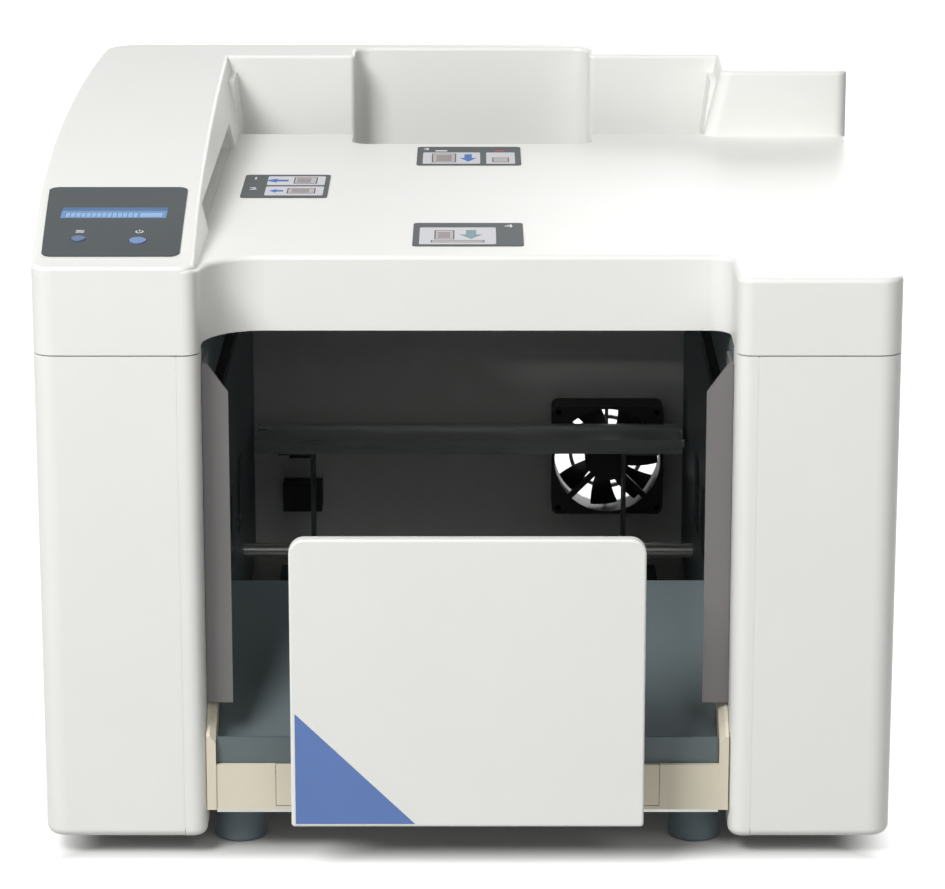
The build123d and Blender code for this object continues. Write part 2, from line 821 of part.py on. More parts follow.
base_plate_length = base_plate_rear - base_plate_front
tongue_length = base_plate_front - base_tongue_front + 10
with BuildPart() as base_plate:
    with BuildSketch(Plane.XY.offset(base_z)):
        with Locations((0, front_y + base_plate_front + base_plate_length / 2)):
            RectangleRounded(base_plate_width, base_plate_length, 10)
        with Locations((0, front_y + base_tongue_front + tongue_length / 2)):
            Rectangle(base_tongue_width, tongue_length)
        with Locations((0, front_y + body_depth / 2)):
            with GridLocations(18, 1, 8, 1):
                Rectangle(6, 150, mode=Mode.SUBTRACT)
    extrude(amount=sheet)
save(base_plate.part, "base_plate")

with BuildPart() as rubber_feet:
    for x in (-foot_x, foot_x):
        for setback in (foot_front, foot_rear):
            with BuildSketch(Plane.XZ.offset(-front_y - setback)):
                with BuildLine():
                    Polyline(
                        (x, 0),
                        (x + foot_radius - 1.5, 0),
                        (x + foot_radius, 1.5),
                        (x + foot_radius - 2, base_z),
                        (x, base_z),
                        close=True,
                    )
                make_face()
            revolve(axis=Axis((x, front_y + setback, 0), (0, 0, 1)))
save(rubber_feet.part, "rubber_feet")

plate_face = Plane.YZ.offset(-half_bay - sheet)
slot_front = rod_front + bracket_front + 14.0
slot_rear = rod_rear - bracket_rear - 8.0
with BuildPart() as left_frame_plate:
    with BuildSketch(plate_face) as plate_outline:
        with Locations((front_y + (plate_front + plate_rear) / 2, (base_top_z + floor_gap + 290.0) / 2)):
            Rectangle(plate_rear - plate_front, floor_gap + 290.0 - base_top_z)
        fillet(plate_outline.vertices().group_by(Axis.Y)[-1], radius=10)
        with Locations((front_y + (slot_front + slot_rear) / 2, rod_z)):
            RectangleRounded(slot_rear - slot_front, slot_height, 6, mode=Mode.SUBTRACT)
        with Locations((shaft_y, shaft_z)):
            Circle(8.02, mode=Mode.SUBTRACT)
        with Locations((front_y + idler_setback, shaft_z)):
            Circle(4.02, mode=Mode.SUBTRACT)
        with Locations((front_y + 290.0, floor_gap + 110.0)):
            with GridLocations(75, 1, 3, 1):
                RectangleRounded(45, 50, 5, mode=Mode.SUBTRACT)
    extrude(amount=sheet)
    add(
        block(
            (-half_bay - 16, -half_bay - sheet),
            back(plate_front + 12, plate_rear - 12),
            (base_top_z, base_top_z + sheet),
        )
    )
save(left_frame_plate.part, "left_frame_plate")
save(mirror(left_frame_plate.part, about=Plane.YZ), "right_frame_plate")

with BuildPart() as rear_tie:
    add(block((-half_bay + 0.2, half_bay - 0.2), back(529, 545), up(288, 290)))
    add(block((-half_bay + 0.2, half_bay - 0.2), back(543, 545), up(262, 290)))
save(rear_tie.part, "rear_tie")

with BuildPart() as lower_ties:
    for setback, height in tie_places:
        start = (-half_bay + 0.2, front_y + setback, floor_gap + height)
        add(bar(tie_radius, start, (half_bay - 0.2, start[1], start[2])))
save(lower_ties.part, "lower_ties")


# ---- Tray frame, floor, drawer, gate and paper fins ---------------------------------------------

cheek_out = half_bay - 0.3
cheek_in = cheek_out - cheek_width
floor_rise = tan(radians(floor_slope))
guide_x = 80.0
guide_half = 7.0
web_top = rail_bottom
tray_end = floor_end - 2.0

with BuildPart() as tray_frame:
    add(block((-cheek_out, cheek_out), back(rail_setback, tray_end), up(base_height + sheet, web_top)))
    for side in (-1, 1):
        x_low, x_high = sorted((side * drawer_width / 2, side * cheek_out))
        add(block((x_low, x_high), back(rail_setback, rail_setback + wall), up(web_top, rail_top)))
        for edge in (guide_x - guide_half - 2.4, guide_x + guide_half + 0.4):
            x_low, x_high = sorted((side * edge, side * (edge + 2)))
            add(block((x_low, x_high), back(14, tray_end), up(web_top, web_top + 9)))
        with BuildSketch(Plane.YZ.offset(min(side * cheek_in, side * cheek_out))):
            with BuildLine():
                near = front_y + rail_setback - 1
                far = front_y + tray_end
                top = floor_gap + cheek_top
                Polyline(
                    (near, floor_gap + base_height + sheet),
                    (near, top),
                    (near + 6, top + 5),
                    (far, top + 5 + (far - near - 6) * floor_rise),
                    (far, floor_gap + base_height + sheet),
                    close=True,
                )
            make_face()
        extrude(amount=cheek_width)
    inner_edges = tray_frame.edges().filter_by(
        lambda e: abs(abs(e.center().X) - cheek_in) < 0.01
        and e.center().Z > floor_gap + cheek_top
        and e.bounding_box().size.Y > 1
    )
    chamfer(inner_edges, length=3.5)
save(tray_frame.part, "tray_frame")

floor_half = cheek_in - 0.4
with BuildPart() as tray_floor:
    with BuildSketch(Plane.YZ.offset(-floor_half)):
        with BuildLine():
            lip_near = front_y + rail_setback + wall + 0.5
            bend = floor_gap + rail_top - 4
            end_z = bend + (front_y + floor_end - lip_near) * floor_rise
            Polyline(
                (lip_near, bend - 3),
                (lip_near, floor_gap + lip_top),
                (lip_near + sheet, floor_gap + lip_top),
                (lip_near + sheet, bend + sheet * 1.4),
                (front_y + floor_end, end_z + sheet * 0.6),
                (front_y + floor_end, end_z - sheet * 1.2),
                (lip_near + sheet, bend - 3),
                close=True,
            )
        make_face()
    extrude(amount=2 * floor_half)
    for side in (-1, 1):
        x_low, x_high = sorted((side * 104, side * floor_half))
        add(block((x_low, x_high), back(floor_end - sheet, floor_end), (floor_gap + web_top, end_z)))
save(tray_floor.part, "tray_floor")

gate_back = -gate_reach + gate_thick
with BuildPart() as tray_drawer:
    half = drawer_width / 2 - hairline
    add(block((-half, half), back(rail_setback, rail_setback + wall), up(web_top + 0.5, rail_top - 0.3)))
    for side in (-1, 1):
        x_low, x_high = sorted((side * (guide_x - guide_half), side * (guide_x + guide_half)))
        add(block((x_low, x_high), back(rail_setback, 200), up(web_top + 0.3, web_top + 8)))
        x_low, x_high = sorted((side * 50, side * 64))
        add(block((x_low, x_high), back(gate_back, rail_setback), up(web_top + 6, web_top + 20)))
save(tray_drawer.part, "tray_drawer")

inlay_left = -gate_width / 2 + inlay_inset[0]
inlay_low = floor_gap + gate_bottom + inlay_inset[1]
gate_face = Plane.XZ.offset(-front_y + gate_reach)


def triangle_points(slack):
    """Corners of the triangle on the gate's face, drawn in by the slack."""
    left, low = inlay_left + slack, inlay_low + slack
    return (
        (left, low),
        (left + inlay_size[0] - 3.4 * slack, low),
        (left, low + inlay_size[1] - 3.4 * slack),
    )


with BuildPart() as gate_plate:
    with BuildSketch(gate_face) as gate_outline:
        with Locations((0, floor_gap + (gate_bottom + gate_top) / 2)):
            Rectangle(gate_width, gate_top - gate_bottom)
        fillet(gate_outline.vertices().group_by(Axis.Y)[-1], radius=gate_corner)
        fillet(gate_outline.vertices().group_by(Axis.Y)[0], radius=2)
    extrude(amount=-gate_thick)
    fillet(gate_plate.faces().sort_by(Axis.Y)[0].edges(), radius=1.5)
    fillet(gate_plate.faces().sort_by(Axis.Y)[-1].edges(), radius=2.5)
    with BuildSketch(gate_face):
        with BuildLine():
            Polyline(*triangle_points(0), close=True)
        make_face()
    extrude(amount=-inlay_depth, mode=Mode.SUBTRACT)
save(gate_plate.part, "gate_plate")

with BuildPart() as gate_inlay:
    with BuildSketch(gate_face):
        with BuildLine():
            Polyline(*triangle_points(0.12), close=True)
        make_face()
    extrude(amount=-inlay_depth + 0.02)
save(gate_inlay.part, "gate_inlay")

with BuildPart() as left_paper_fin:
    with BuildSketch(Plane.XZ.offset(-front_y - fin_setback)) as fin_outline:
        with BuildLine():
            outer_x = -cheek_out
            inner_x = -half_bay + fin_reach
            top = floor_gap + fin_top
            low = floor_gap + cheek_top + 16
            Polyline(
                (outer_x, low),
                (outer_x, top),
                (outer_x + 3, top),
                (inner_x, top - fin_chamfer),
                (inner_x, low),
                close=True,
            )
        make_face()
    extrude(amount=-2.5)
    add(block((outer_x, outer_x + sheet), back(fin_setback, 52), (low + 24, top)))
save(left_paper_fin.part, "left_paper_fin")
save(mirror(left_paper_fin.part, about=Plane.YZ), "right_paper_fin")


# ---- Heater -------------------------------------------------------------------------------------

heater_y = front_y + heater_middle
heater_top_z = floor_gap + heater_top
cartridge_radius = 4.0
with BuildPart() as heater_plate:
    with BuildSketch(Plane.YZ.offset(-heater_size[0] / 2)) as heater_profile:
        with Locations((heater_y, heater_top_z - heater_size[2] / 2 - 1)):
            Rectangle(heater_size[1], heater_size[2] + 2)
        with Locations((heater_y, heater_top_z)):
            Trapezoid(heater_size[1] - 8, 4, 60, mode=Mode.SUBTRACT, rotation=180)
        for offset in (-14, 14):
            with Locations((heater_y + offset, heater_top_z - heater_size[2] / 2 - 1.5)):
                Circle(cartridge_radius + 0.02, mode=Mode.SUBTRACT)
    extrude(amount=heater_size[0])
save(heater_plate.part, "heater_plate")

with BuildPart() as heater_cartridges:
    for offset in (-14, 14):
        z = heater_top_z - heater_size[2] / 2 - 1.5
        add(bar(cartridge_radius, (-144, heater_y + offset, z), (152, heater_y + offset, z)))
save(heater_cartridges.part, "heater_cartridges")

heater_low_z = heater_top_z - heater_size[2] - 2
with BuildPart() as heater_bracket:
    across = (heater_y - bracket_half, heater_y + bracket_half)
    for x in bracket_places:
        web = (x - sheet / 2, x + sheet / 2)
        flange = (min(x, x + copysign(bracket_flange, x)), max(x, x + copysign(bracket_flange, x)))
        add(block(web, across, (base_top_z, heater_low_z)))
        add(block(flange, across, (base_top_z, base_top_z + sheet)))
        add(block(flange, across, (heater_low_z - sheet, heater_low_z)))
save(heater_bracket.part, "heater_bracket")


# ---- Guide rods and their brackets --------------------------------------------------------------

with BuildPart() as guide_rods:
    for x in (-rod_x, rod_x):
        add(bar(rod_radius, (x, front_y + rod_front, rod_z), (x, front_y + rod_rear, rod_z)))
save(guide_rods.part, "guide_rods")

with BuildPart() as rod_brackets:
    for side in (-1, 1):
        x_low, x_high = sorted((side * (half_bay + sheet), side * (rod_x + 14)))
        for near, far in ((rod_front, rod_front + bracket_front), (rod_rear - bracket_rear, rod_rear)):
            add(block((x_low, x_high), back(near, far), (rod_z - 13, rod_z + 13)))
        start = (side * rod_x, front_y, rod_z)
        add(bar(rod_radius + 0.02, start, (start[0], rear_y, rod_z)), mode=Mode.SUBTRACT)
save(rod_brackets.part, "rod_brackets")


# ---- Carriage with the rear jaw, and the front jaw that slides on the same rods ----------------

rear_pad = well_rear + jaw_clear  # front face of the rear pad
front_pad = well_front - jaw_clear  # rear face of the front pad
jaw_z = (rod_z - jaw_height / 2, rod_z + jaw_height / 2)
arm_z = (rod_z - 12, rod_z + 12)
block_x = (rod_x - block_width / 2, rod_x + block_width / 2)
block_z = (rod_z - block_height / 2, rod_z + block_height / 2)
rear_block = (rear_pad - 2, rear_pad - 2 + block_length)
front_block = (front_pad - pad_thick - block_length, front_pad - pad_thick)
belt_top = shaft_z + pulley_radius + belt_gap + belt_thick
actuator_z = block_z[1] + 3 + actuator_radius
actuator_near = rod_rear - 1 - actuator_length


def jaw_bar(near, far, blocks):
    """A jaw across the bay, its arms through the frame slots and a bored block on each rod."""
    with BuildPart() as jaw:
        add(block((-jaw_width / 2, jaw_width / 2), back(near, far), jaw_z))
        front_edges = jaw.edges().filter_by(Axis.X)
        fillet(front_edges, radius=2)
        add(block((-block_x[0] - 1, block_x[0] + 1), back(near, far), arm_z))
        for side in (-1, 1):
            x_low, x_high = sorted((side * block_x[0], side * block_x[1]))
            add(block((x_low, x_high), back(*blocks), block_z))
            start = (side * rod_x, front_y + blocks[0] - 1, rod_z)
            bore = bar(rod_radius + rod_fit, start, (start[0], front_y + blocks[1] + 1, rod_z))
            add(bore, mode=Mode.SUBTRACT)
    return jaw.part


with BuildPart() as carriage:
    add(jaw_bar(rear_pad + pad_thick, rear_pad + pad_thick + jaw_thick, rear_block))
    for side in (-1, 1):
        x_low, x_high = sorted((side * (block_x[1] - 2), side * (belt_x + 6)))
        clamp_y = back(rear_block[0], rear_block[0] + 16)
        add(block((x_low, x_high), clamp_y, (block_z[0], block_z[0] + 8)))
        x_low, x_high = sorted((side * (belt_x - grip_half), side * (belt_x + grip_half)))
        add(block((x_low, x_high), clamp_y, (belt_top + belt_gap, block_z[0] + 1)))
    saddle_x = (rod_x - 7, rod_x + 7)
    add(block(saddle_x, back(rear_block[0] + 2, rear_block[1] - 2), (block_z[1] - 1, actuator_z)))
    start = (rod_x, front_y + rear_block[0], actuator_z)
    add(
        bar(actuator_radius + 0.02, start, (rod_x, front_y + rear_block[1], actuator_z)),
        mode=Mode.SUBTRACT,
    )
save(carriage.part, "carriage")

with BuildPart() as jaw_actuator:
    start = (rod_x, front_y + actuator_near, actuator_z)
    end = (rod_x, front_y + actuator_near + actuator_length, actuator_z)
    add(bar(actuator_radius, start, end))
    add(
        bar(plunger_radius + 0.1, (rod_x, start[1] - 1, actuator_z), (rod_x, end[1] - 2, actuator_z)),
        mode=Mode.SUBTRACT,
    )
save(jaw_actuator.part, "jaw_actuator")

ear_near = actuator_near - jaw_travel - 8.0
with BuildPart() as front_jaw:
    add(jaw_bar(front_pad - pad_thick - jaw_thick, front_pad - pad_thick, front_block))
    strap_x = (rod_x - 6, rod_x + 6)
    strap_low = block_z[1] - 0.5
    add(block(strap_x, back(ear_near, front_block[0] + 8), (strap_low, strap_low + sheet)))
    add(block(strap_x, back(ear_near, ear_near + 6), (strap_low, actuator_z + 5)))
    plunger_start = (rod_x, front_y + ear_near + 3, actuator_z)
    add(bar(plunger_radius, plunger_start, (rod_x, front_y + actuator_near + 5, actuator_z)))
save(front_jaw.part, "front_jaw")


def jaw_pad(near, face):
    """A rubber pad on a jaw, with upright grooves in its gripping face."""
    half = jaw_width / 2 - pad_margin
    with BuildPart() as pad:
        pad_z = (jaw_z[0] + pad_margin, jaw_z[1] - pad_margin)
        add(block((-half, half), back(near, near + pad_thick), pad_z))
        with BuildSketch(Plane.XZ.offset(-front_y - face)):
            with Locations((0, rod_z)):
                with GridLocations(groove_pitch, 1, groove_count, 1):
                    Rectangle(groove_width, jaw_height)
        extrude(amount=groove_depth, both=True, mode=Mode.SUBTRACT)
    return pad.part


save(jaw_pad(rear_pad, rear_pad), "rear_jaw_pad")
save(jaw_pad(front_pad - pad_thick, front_pad), "front_jaw_pad")


# ---- Drive --------------------------------------------------------------------------------------


def pulley(radius, x, setback, height, bore=0.0):
    """A flanged belt pulley on a cross axis."""
    y, z = front_y + setback, floor_gap + height
    half = belt_width / 2 + 0.5
    wheel = bar(radius, (x - half, y, z), (x + half, y, z))
    for side in (-1, 1):
        start, end = sorted((x + side * half, x + side * (half + 1)))
        wheel += bar(radius + 2, (start, y, z), (end, y, z))
    if bore:
        wheel -= bar(bore, (x - over, y, z), (x + over, y, z))
    return wheel


def belt(x, first, second):
    """A belt round two pulleys; each is (radius, distance behind the front faces, height)."""
    with BuildPart() as loop:
        for grow, mode in ((belt_gap + belt_thick, Mode.ADD), (belt_gap, Mode.SUBTRACT)):
            with BuildSketch(Plane.YZ.offset(x - belt_width / 2)):
                for radius, setback, height in (first, second):
                    with Locations((front_y + setback, floor_gap + height)):
                        Circle(radius + grow)
                make_hull()
            extrude(amount=belt_width, mode=mode)
    return loop.part


shaft_end = motor_belt_x + belt_width
with BuildPart() as drive_shaft:
    add(bar(shaft_radius, (-shaft_end, shaft_y, shaft_z), (belt_x + 9, shaft_y, shaft_z)))
    add(pulley(pulley_radius, -belt_x, shaft_setback, shaft_height))
    add(pulley(pulley_radius, belt_x, shaft_setback, shaft_height))
    hub = (-motor_belt_x - belt_width / 2, -motor_belt_x + belt_width / 2)
    add(bar(driven_radius, (hub[0], shaft_y, shaft_z), (hub[1], shaft_y, shaft_z)))
save(drive_shaft.part, "drive_shaft")

with BuildPart() as shaft_bearings:
    for side in (-1, 1):
        x = side * (half_bay + sheet / 2)
        add(bar(8, (x - 3, shaft_y, shaft_z), (x + 3, shaft_y, shaft_z)))
        inner, outer = sorted((side * (half_bay + sheet), side * (half_bay + sheet + 2)))
        add(bar(10, (inner, shaft_y, shaft_z), (outer, shaft_y, shaft_z)))
    add(
        bar(shaft_radius + rod_fit, (-over * 4, shaft_y, shaft_z), (over * 4, shaft_y, shaft_z)),
        mode=Mode.SUBTRACT,
    )
save(shaft_bearings.part, "shaft_bearings")

idler_y = front_y + idler_setback
with BuildPart() as idler_axles:
    for side in (-1, 1):
        start = (side * half_bay, idler_y, shaft_z)
        add(bar(4, start, (side * (belt_x + 8), idler_y, shaft_z)))
        collar = (side * (half_bay + sheet), idler_y, shaft_z)
        add(bar(7, collar, (side * (belt_x - 7), idler_y, shaft_z)))
save(idler_axles.part, "idler_axles")

for name, side in (("left_idler", -1), ("right_idler", 1)):
    with BuildPart() as idler:
        add(pulley(pulley_radius, side * belt_x, idler_setback, shaft_height, bore=4 + rod_fit))
    save(idler.part, name)

round_shaft = (pulley_radius, shaft_setback, shaft_height)
round_idler = (pulley_radius, idler_setback, shaft_height)
for name, side in (("left_drive_belt", -1), ("right_drive_belt", 1)):
    save(belt(side * belt_x, round_shaft, round_idler), name)
round_driven = (driven_radius, shaft_setback, shaft_height)
round_pinion = (pinion_radius, motor_setback, motor_height)
save(belt(-motor_belt_x, round_driven, round_pinion), "motor_belt")

motor_y = front_y + motor_setback
motor_z = floor_gap + motor_height
with BuildPart() as drive_motor:
    motor_span = (motor_y - motor_half, motor_y + motor_half)
    motor_rise = (motor_z - motor_half, motor_z + motor_half)
    add(block((-motor_reach, -half_bay - sheet - 0.2), motor_span, motor_rise))
    fillet(drive_motor.edges().filter_by(Axis.X), radius=4)
    for radius, near, far in (
        (gearbox_radius, motor_reach, gearbox_reach), (output_radius, gearbox_reach, output_reach)
    ):
        add(bar(radius, (1 - near, motor_y, motor_z), (-far, motor_y, motor_z)))
save(drive_motor.part, "drive_motor")

with BuildPart() as motor_pulley:
    add(pulley(pinion_radius, -motor_belt_x, motor_setback, motor_height, bore=output_radius + rod_fit))
save(motor_pulley.part, "motor_pulley")


# ---- Power supply and control board -------------------------------------------------------------

with BuildPart() as power_supply:
    add(block(supply_x, back(*supply_setbacks), up(base_height + sheet, supply_top)))
    with BuildSketch(Plane.XY.offset(floor_gap + supply_top)):
        with Locations((sum(supply_x) / 2, front_y + sum(supply_setbacks) / 2)):
            with GridLocations(1, 12, 1, 9):
                Rectangle(44, 4)
    extrude(amount=-1.5, mode=Mode.SUBTRACT)
save(power_supply.part, "power_supply")

board_x = half_bay + sheet + board_stand
board_parts = (  # near, far, low, high, tall
    (130, 160, 75, 95, 4),
    (175, 215, 80, 120, 6),
    (225, 270, 70, 84, 12),
    (130, 170, 112, 136, 10),
)
with BuildPart() as control_board:
    add(block((board_x, board_x + board_skin), back(*board_setbacks), up(*board_heights)))
    with BuildSketch(Plane.YZ.offset(half_bay + sheet + 0.2)):
        for setback in (board_setbacks[0] + 8, board_setbacks[1] - 8):
            for height in (board_heights[0] + 6, board_heights[1] - 6):
                with Locations((front_y + setback, floor_gap + height)):
                    Rectangle(5, 5)
    extrude(amount=board_stand)
    for near, far, low, high, tall in board_parts:
        add(block((board_x + 1, board_x + board_skin + tall), back(near, far), up(low, high)))
save(control_board.part, "control_board")


# ---- Fan ----------------------------------------------------------------------------------------

fan_y = rear_y - wall - 0.2 - fan_depth  # the frame's inner face
fan_z = floor_gap + fan_height
fan_plane = Plane.XZ.offset(-fan_y)
fan_bore = fan_size / 2 - 2
with BuildPart() as fan_frame:
    with BuildSketch(fan_plane):
        with Locations((fan_x, fan_z)):
            RectangleRounded(fan_size, fan_size, 5)
            Circle(fan_bore, mode=Mode.SUBTRACT)
            with GridLocations(fan_size - 9, fan_size - 9, 2, 2):
                Circle(2.1, mode=Mode.SUBTRACT)
    extrude(amount=-fan_depth)
    with BuildSketch(fan_plane):
        with Locations((fan_x, fan_z)):
            Circle(fan_hub_radius - 1)
            Rectangle(2 * fan_bore + 1, 4, rotation=45)
            Rectangle(2 * fan_bore + 1, 4, rotation=-45)
    extrude(amount=-3)
    add(bar(2, (fan_x, fan_y + 2, fan_z), (fan_x, fan_y + 18, fan_z)))
save(fan_frame.part, "fan_frame")

blade_count = 7
with BuildPart() as fan_rotor:
    add(bar(fan_hub_radius, (fan_x, fan_y + 4, fan_z), (fan_x, fan_y + 22, fan_z)))
    for turn in range(blade_count):
        angle = 360 * turn / blade_count
        place = Pos(fan_x, fan_y + 13, fan_z) * Rot(0, angle, 0) * Pos(25.5, 0, 0) * Rot(35, 0, 0)
        add(place * Box(22, 1.6, 22, mode=Mode.PRIVATE))
    swept = bar(fan_bore - 1, (fan_x, fan_y + 3.6, fan_z), (fan_x, fan_y + 24, fan_z))
    add(swept, mode=Mode.INTERSECT)
    add(bar(2 + rod_fit, (fan_x, fan_y + 3, fan_z), (fan_x, fan_y + 18.3, fan_z)), mode=Mode.SUBTRACT)
save(fan_rotor.part, "fan_rotor")


# ---- Power inlet and switch ---------------------------------------------------------------------

inlet_z = floor_gap + inlet_height
inlet_depth = 22.0
socket_size = (24.0, 16.0)
socket_depth = 15.0
with BuildPart() as power_inlet:
    with BuildSketch(panel_face):
        with Locations((inlet_x, inlet_z)):
            RectangleRounded(inlet_body[0] + 5, inlet_body[1] + 5, 2)
    extrude(amount=-2)
    inlet_span = (inlet_x - inlet_body[0] / 2, inlet_x + inlet_body[0] / 2)
    inlet_rise = (inlet_z - inlet_body[1] / 2, inlet_z + inlet_body[1] / 2)
    add(block(inlet_span, (rear_y - inlet_depth, rear_y + 1), inlet_rise))
    with BuildSketch(Plane.XZ.offset(-rear_y - 2)) as socket:
        with Locations((inlet_x, inlet_z)):
            Rectangle(*socket_size)
        chamfer(socket.vertices().group_by(Axis.Y)[-1], length=4)
    extrude(amount=socket_depth + 2, mode=Mode.SUBTRACT)
    for offset, lift in ((-7, -2), (0, 2), (7, -2)):
        x, z = inlet_x + offset, inlet_z + lift
        add(block((x - 1, x + 1), (rear_y - socket_depth - 1, rear_y), (z - 2, z + 2)))
save(power_inlet.part, "power_inlet")

switch_z = floor_gap + switch_height
switch_depth = 16.0
switch_wall = (1.5, 0.8)


def rocker_trunnion(play):
    """The rocker's pivot pin, or with play the bore that it turns in."""
    half = rocker_pin[1] / 2 + play
    ends = [(inlet_x + side * half, rear_y - rocker_pivot, switch_z) for side in (-1, 1)]
    return bar(rocker_pin[0] + play, *ends)


with BuildPart() as switch_housing:
    with BuildSketch(panel_face):
        with Locations((inlet_x, switch_z)):
            RectangleRounded(switch_body[0] + 3.5, switch_body[1] + 3.5, 1.5)
    extrude(amount=-1.6)
    half_x, half_z = switch_body[0] / 2, switch_body[1] / 2
    switch_x = (inlet_x - half_x, inlet_x + half_x)
    add(block(switch_x, (rear_y - switch_depth, rear_y + 1), (switch_z - half_z, switch_z + half_z)))
    cavity_x = (switch_x[0] + switch_wall[0], switch_x[1] - switch_wall[0])
    cavity_z = (switch_z - half_z + switch_wall[1], switch_z + half_z - switch_wall[1])
    add(block(cavity_x, (rear_y - switch_depth + 4, rear_y + 3), cavity_z), mode=Mode.SUBTRACT)
    add(rocker_trunnion(rod_fit), mode=Mode.SUBTRACT)
save(switch_housing.part, "switch_housing")

rocker_edge = rear_y + 1.8  # how far out the rocker's edges stand on average
with BuildPart() as power_switch:
    with BuildSketch(Plane.YZ.offset(inlet_x - rocker_width / 2)):
        with BuildLine():
            Polyline(
                (rear_y - 1.0, switch_z),
                (rocker_edge + rocker_skew, switch_z + rocker_half),
                (rear_y - 1.0, switch_z + rocker_half),
                (rear_y - 6.0, switch_z),
                (rear_y - 2.5, switch_z - rocker_half),
                (rocker_edge - rocker_skew, switch_z - rocker_half),
                close=True,
            )
        make_face()
    extrude(amount=rocker_width)
    add(rocker_trunnion(0))
save(power_switch.part, "power_switch")


# ---- Screws in the rear face --------------------------------------------------------------------

with BuildPart() as rear_screws:
    for x, height in panel_screws:
        z = floor_gap + height
        add(bar(screw_radius, (x, rear_y, z), (x, rear_y + screw_head, z)))
save(rear_screws.part, "rear_screws")
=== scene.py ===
# %% [markdown]
# A thermal binding machine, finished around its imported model. The moulded casings, the sheet metal
# inside and every moving part come from the frame; this script gives each its real surface, and adds
# the small things that a moulder, a printer or an assembler would: prints, screws, ribs and board parts.

# %% Load the fixed frame and note its size
import json
from math import cos, pi, radians, sin

import bmesh
import bpy
from mathutils import Matrix, Vector
from mathutils.bvhtree import BVHTree


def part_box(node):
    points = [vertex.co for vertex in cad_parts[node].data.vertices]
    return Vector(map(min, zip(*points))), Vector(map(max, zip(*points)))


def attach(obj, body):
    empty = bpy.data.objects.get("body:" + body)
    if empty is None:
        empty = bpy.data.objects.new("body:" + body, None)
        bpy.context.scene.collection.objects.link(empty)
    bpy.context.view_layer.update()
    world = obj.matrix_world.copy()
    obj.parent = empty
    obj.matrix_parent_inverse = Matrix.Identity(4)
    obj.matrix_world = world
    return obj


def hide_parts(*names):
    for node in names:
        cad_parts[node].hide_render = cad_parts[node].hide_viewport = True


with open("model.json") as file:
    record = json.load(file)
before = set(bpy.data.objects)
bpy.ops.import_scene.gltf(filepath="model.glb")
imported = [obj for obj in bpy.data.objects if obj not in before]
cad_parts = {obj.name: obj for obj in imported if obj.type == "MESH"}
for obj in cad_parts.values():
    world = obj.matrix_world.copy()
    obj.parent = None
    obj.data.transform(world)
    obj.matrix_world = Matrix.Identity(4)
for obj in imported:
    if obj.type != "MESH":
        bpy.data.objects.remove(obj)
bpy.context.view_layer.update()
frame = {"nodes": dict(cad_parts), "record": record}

MM = 0.001

# %% [markdown]
# Blender's shaders work in linear light, while a paint card or a photograph gives sRGB numbers. One
# function turns a hex code into linear values, so that every colour below can be read as written.

# %% Colour and node helpers


def linear(code):
    """An sRGB hex code as a linear colour with alpha."""
    parts = [int(code[i : i + 2], 16) / 255 for i in (1, 3, 5)]
    return (*(c / 12.92 if c <= 0.04045 else ((c + 0.055) / 1.055) ** 2.4 for c in parts), 1.0)


def add_node(tree, kind, feeds=None, **settings):
    """Add one node. Each feed is a value for a socket, or another node's output to link to it."""
    made = tree.nodes.new(kind)
    for name, value in settings.items():
        setattr(made, name, value)
    for key, value in (feeds or {}).items():
        if isinstance(value, bpy.types.NodeSocket):
            tree.links.new(value, made.inputs[key])
        else:
            made.inputs[key].default_value = value
    return made


def new_material(name, **surface):
    """A material with one Principled shader; returns the material, its tree and the shader."""
    material = bpy.data.materials.new(name)
    material.use_nodes = True
    tree = material.node_tree
    shader = tree.nodes["Principled BSDF"]
    for key, value in surface.items():
        shader.inputs[key.replace("_", " ")].default_value = value
    return material, tree, shader


def place_on(tree):
    """The point being shaded, in the machine's own metres."""
    return add_node(tree, "ShaderNodeTexCoord").outputs["Object"]


def tint(tree, shader, factor, dark, light):
    """Blend the shader's colour between two hex colours by a 0 to 1 factor."""
    blend = {0: factor, 6: linear(dark), 7: linear(light)}
    mix = add_node(tree, "ShaderNodeMix", blend, data_type="RGBA")
    tree.links.new(mix.outputs[2], shader.inputs["Base Color"])


def grain(tree, size_mm, detail=2.0, stretch=(1, 1, 1)):
    """A noise whose features are about so many millimetres across, 0 to 1."""
    turned = add_node(tree, "ShaderNodeMapping", {"Vector": place_on(tree), "Scale": stretch})
    feeds = {"Vector": turned.outputs[0], "Scale": 1 / (size_mm * MM), "Detail": detail}
    return add_node(tree, "ShaderNodeTexNoise", feeds).outputs["Fac"]


def spread(tree, factor, low, high):
    """A 0 to 1 factor mapped to a range."""
    feeds = {"Value": factor, "To Min": low, "To Max": high}
    return add_node(tree, "ShaderNodeMapRange", feeds).outputs[0]


def relief(tree, shader, height, depth_mm):
    """Let a height factor bend the surface's normal by a real depth."""
    feeds = {"Height": height, "Distance": depth_mm * MM, "Strength": 1.0}
    bump = add_node(tree, "ShaderNodeBump", feeds)
    tree.links.new(bump.outputs[0], shader.inputs["Normal"])


print("helpers ready")

# %% [markdown]
# The outer casings are injection moulded ABS in a warm white. The mould is spark eroded, which leaves
# a fine even grain that takes the mirror off the highlights. The real grain is about 0.1 mm, too fine
# for a picture of the whole machine, so it is drawn ten times coarser and very shallow.

# %% Moulded ABS


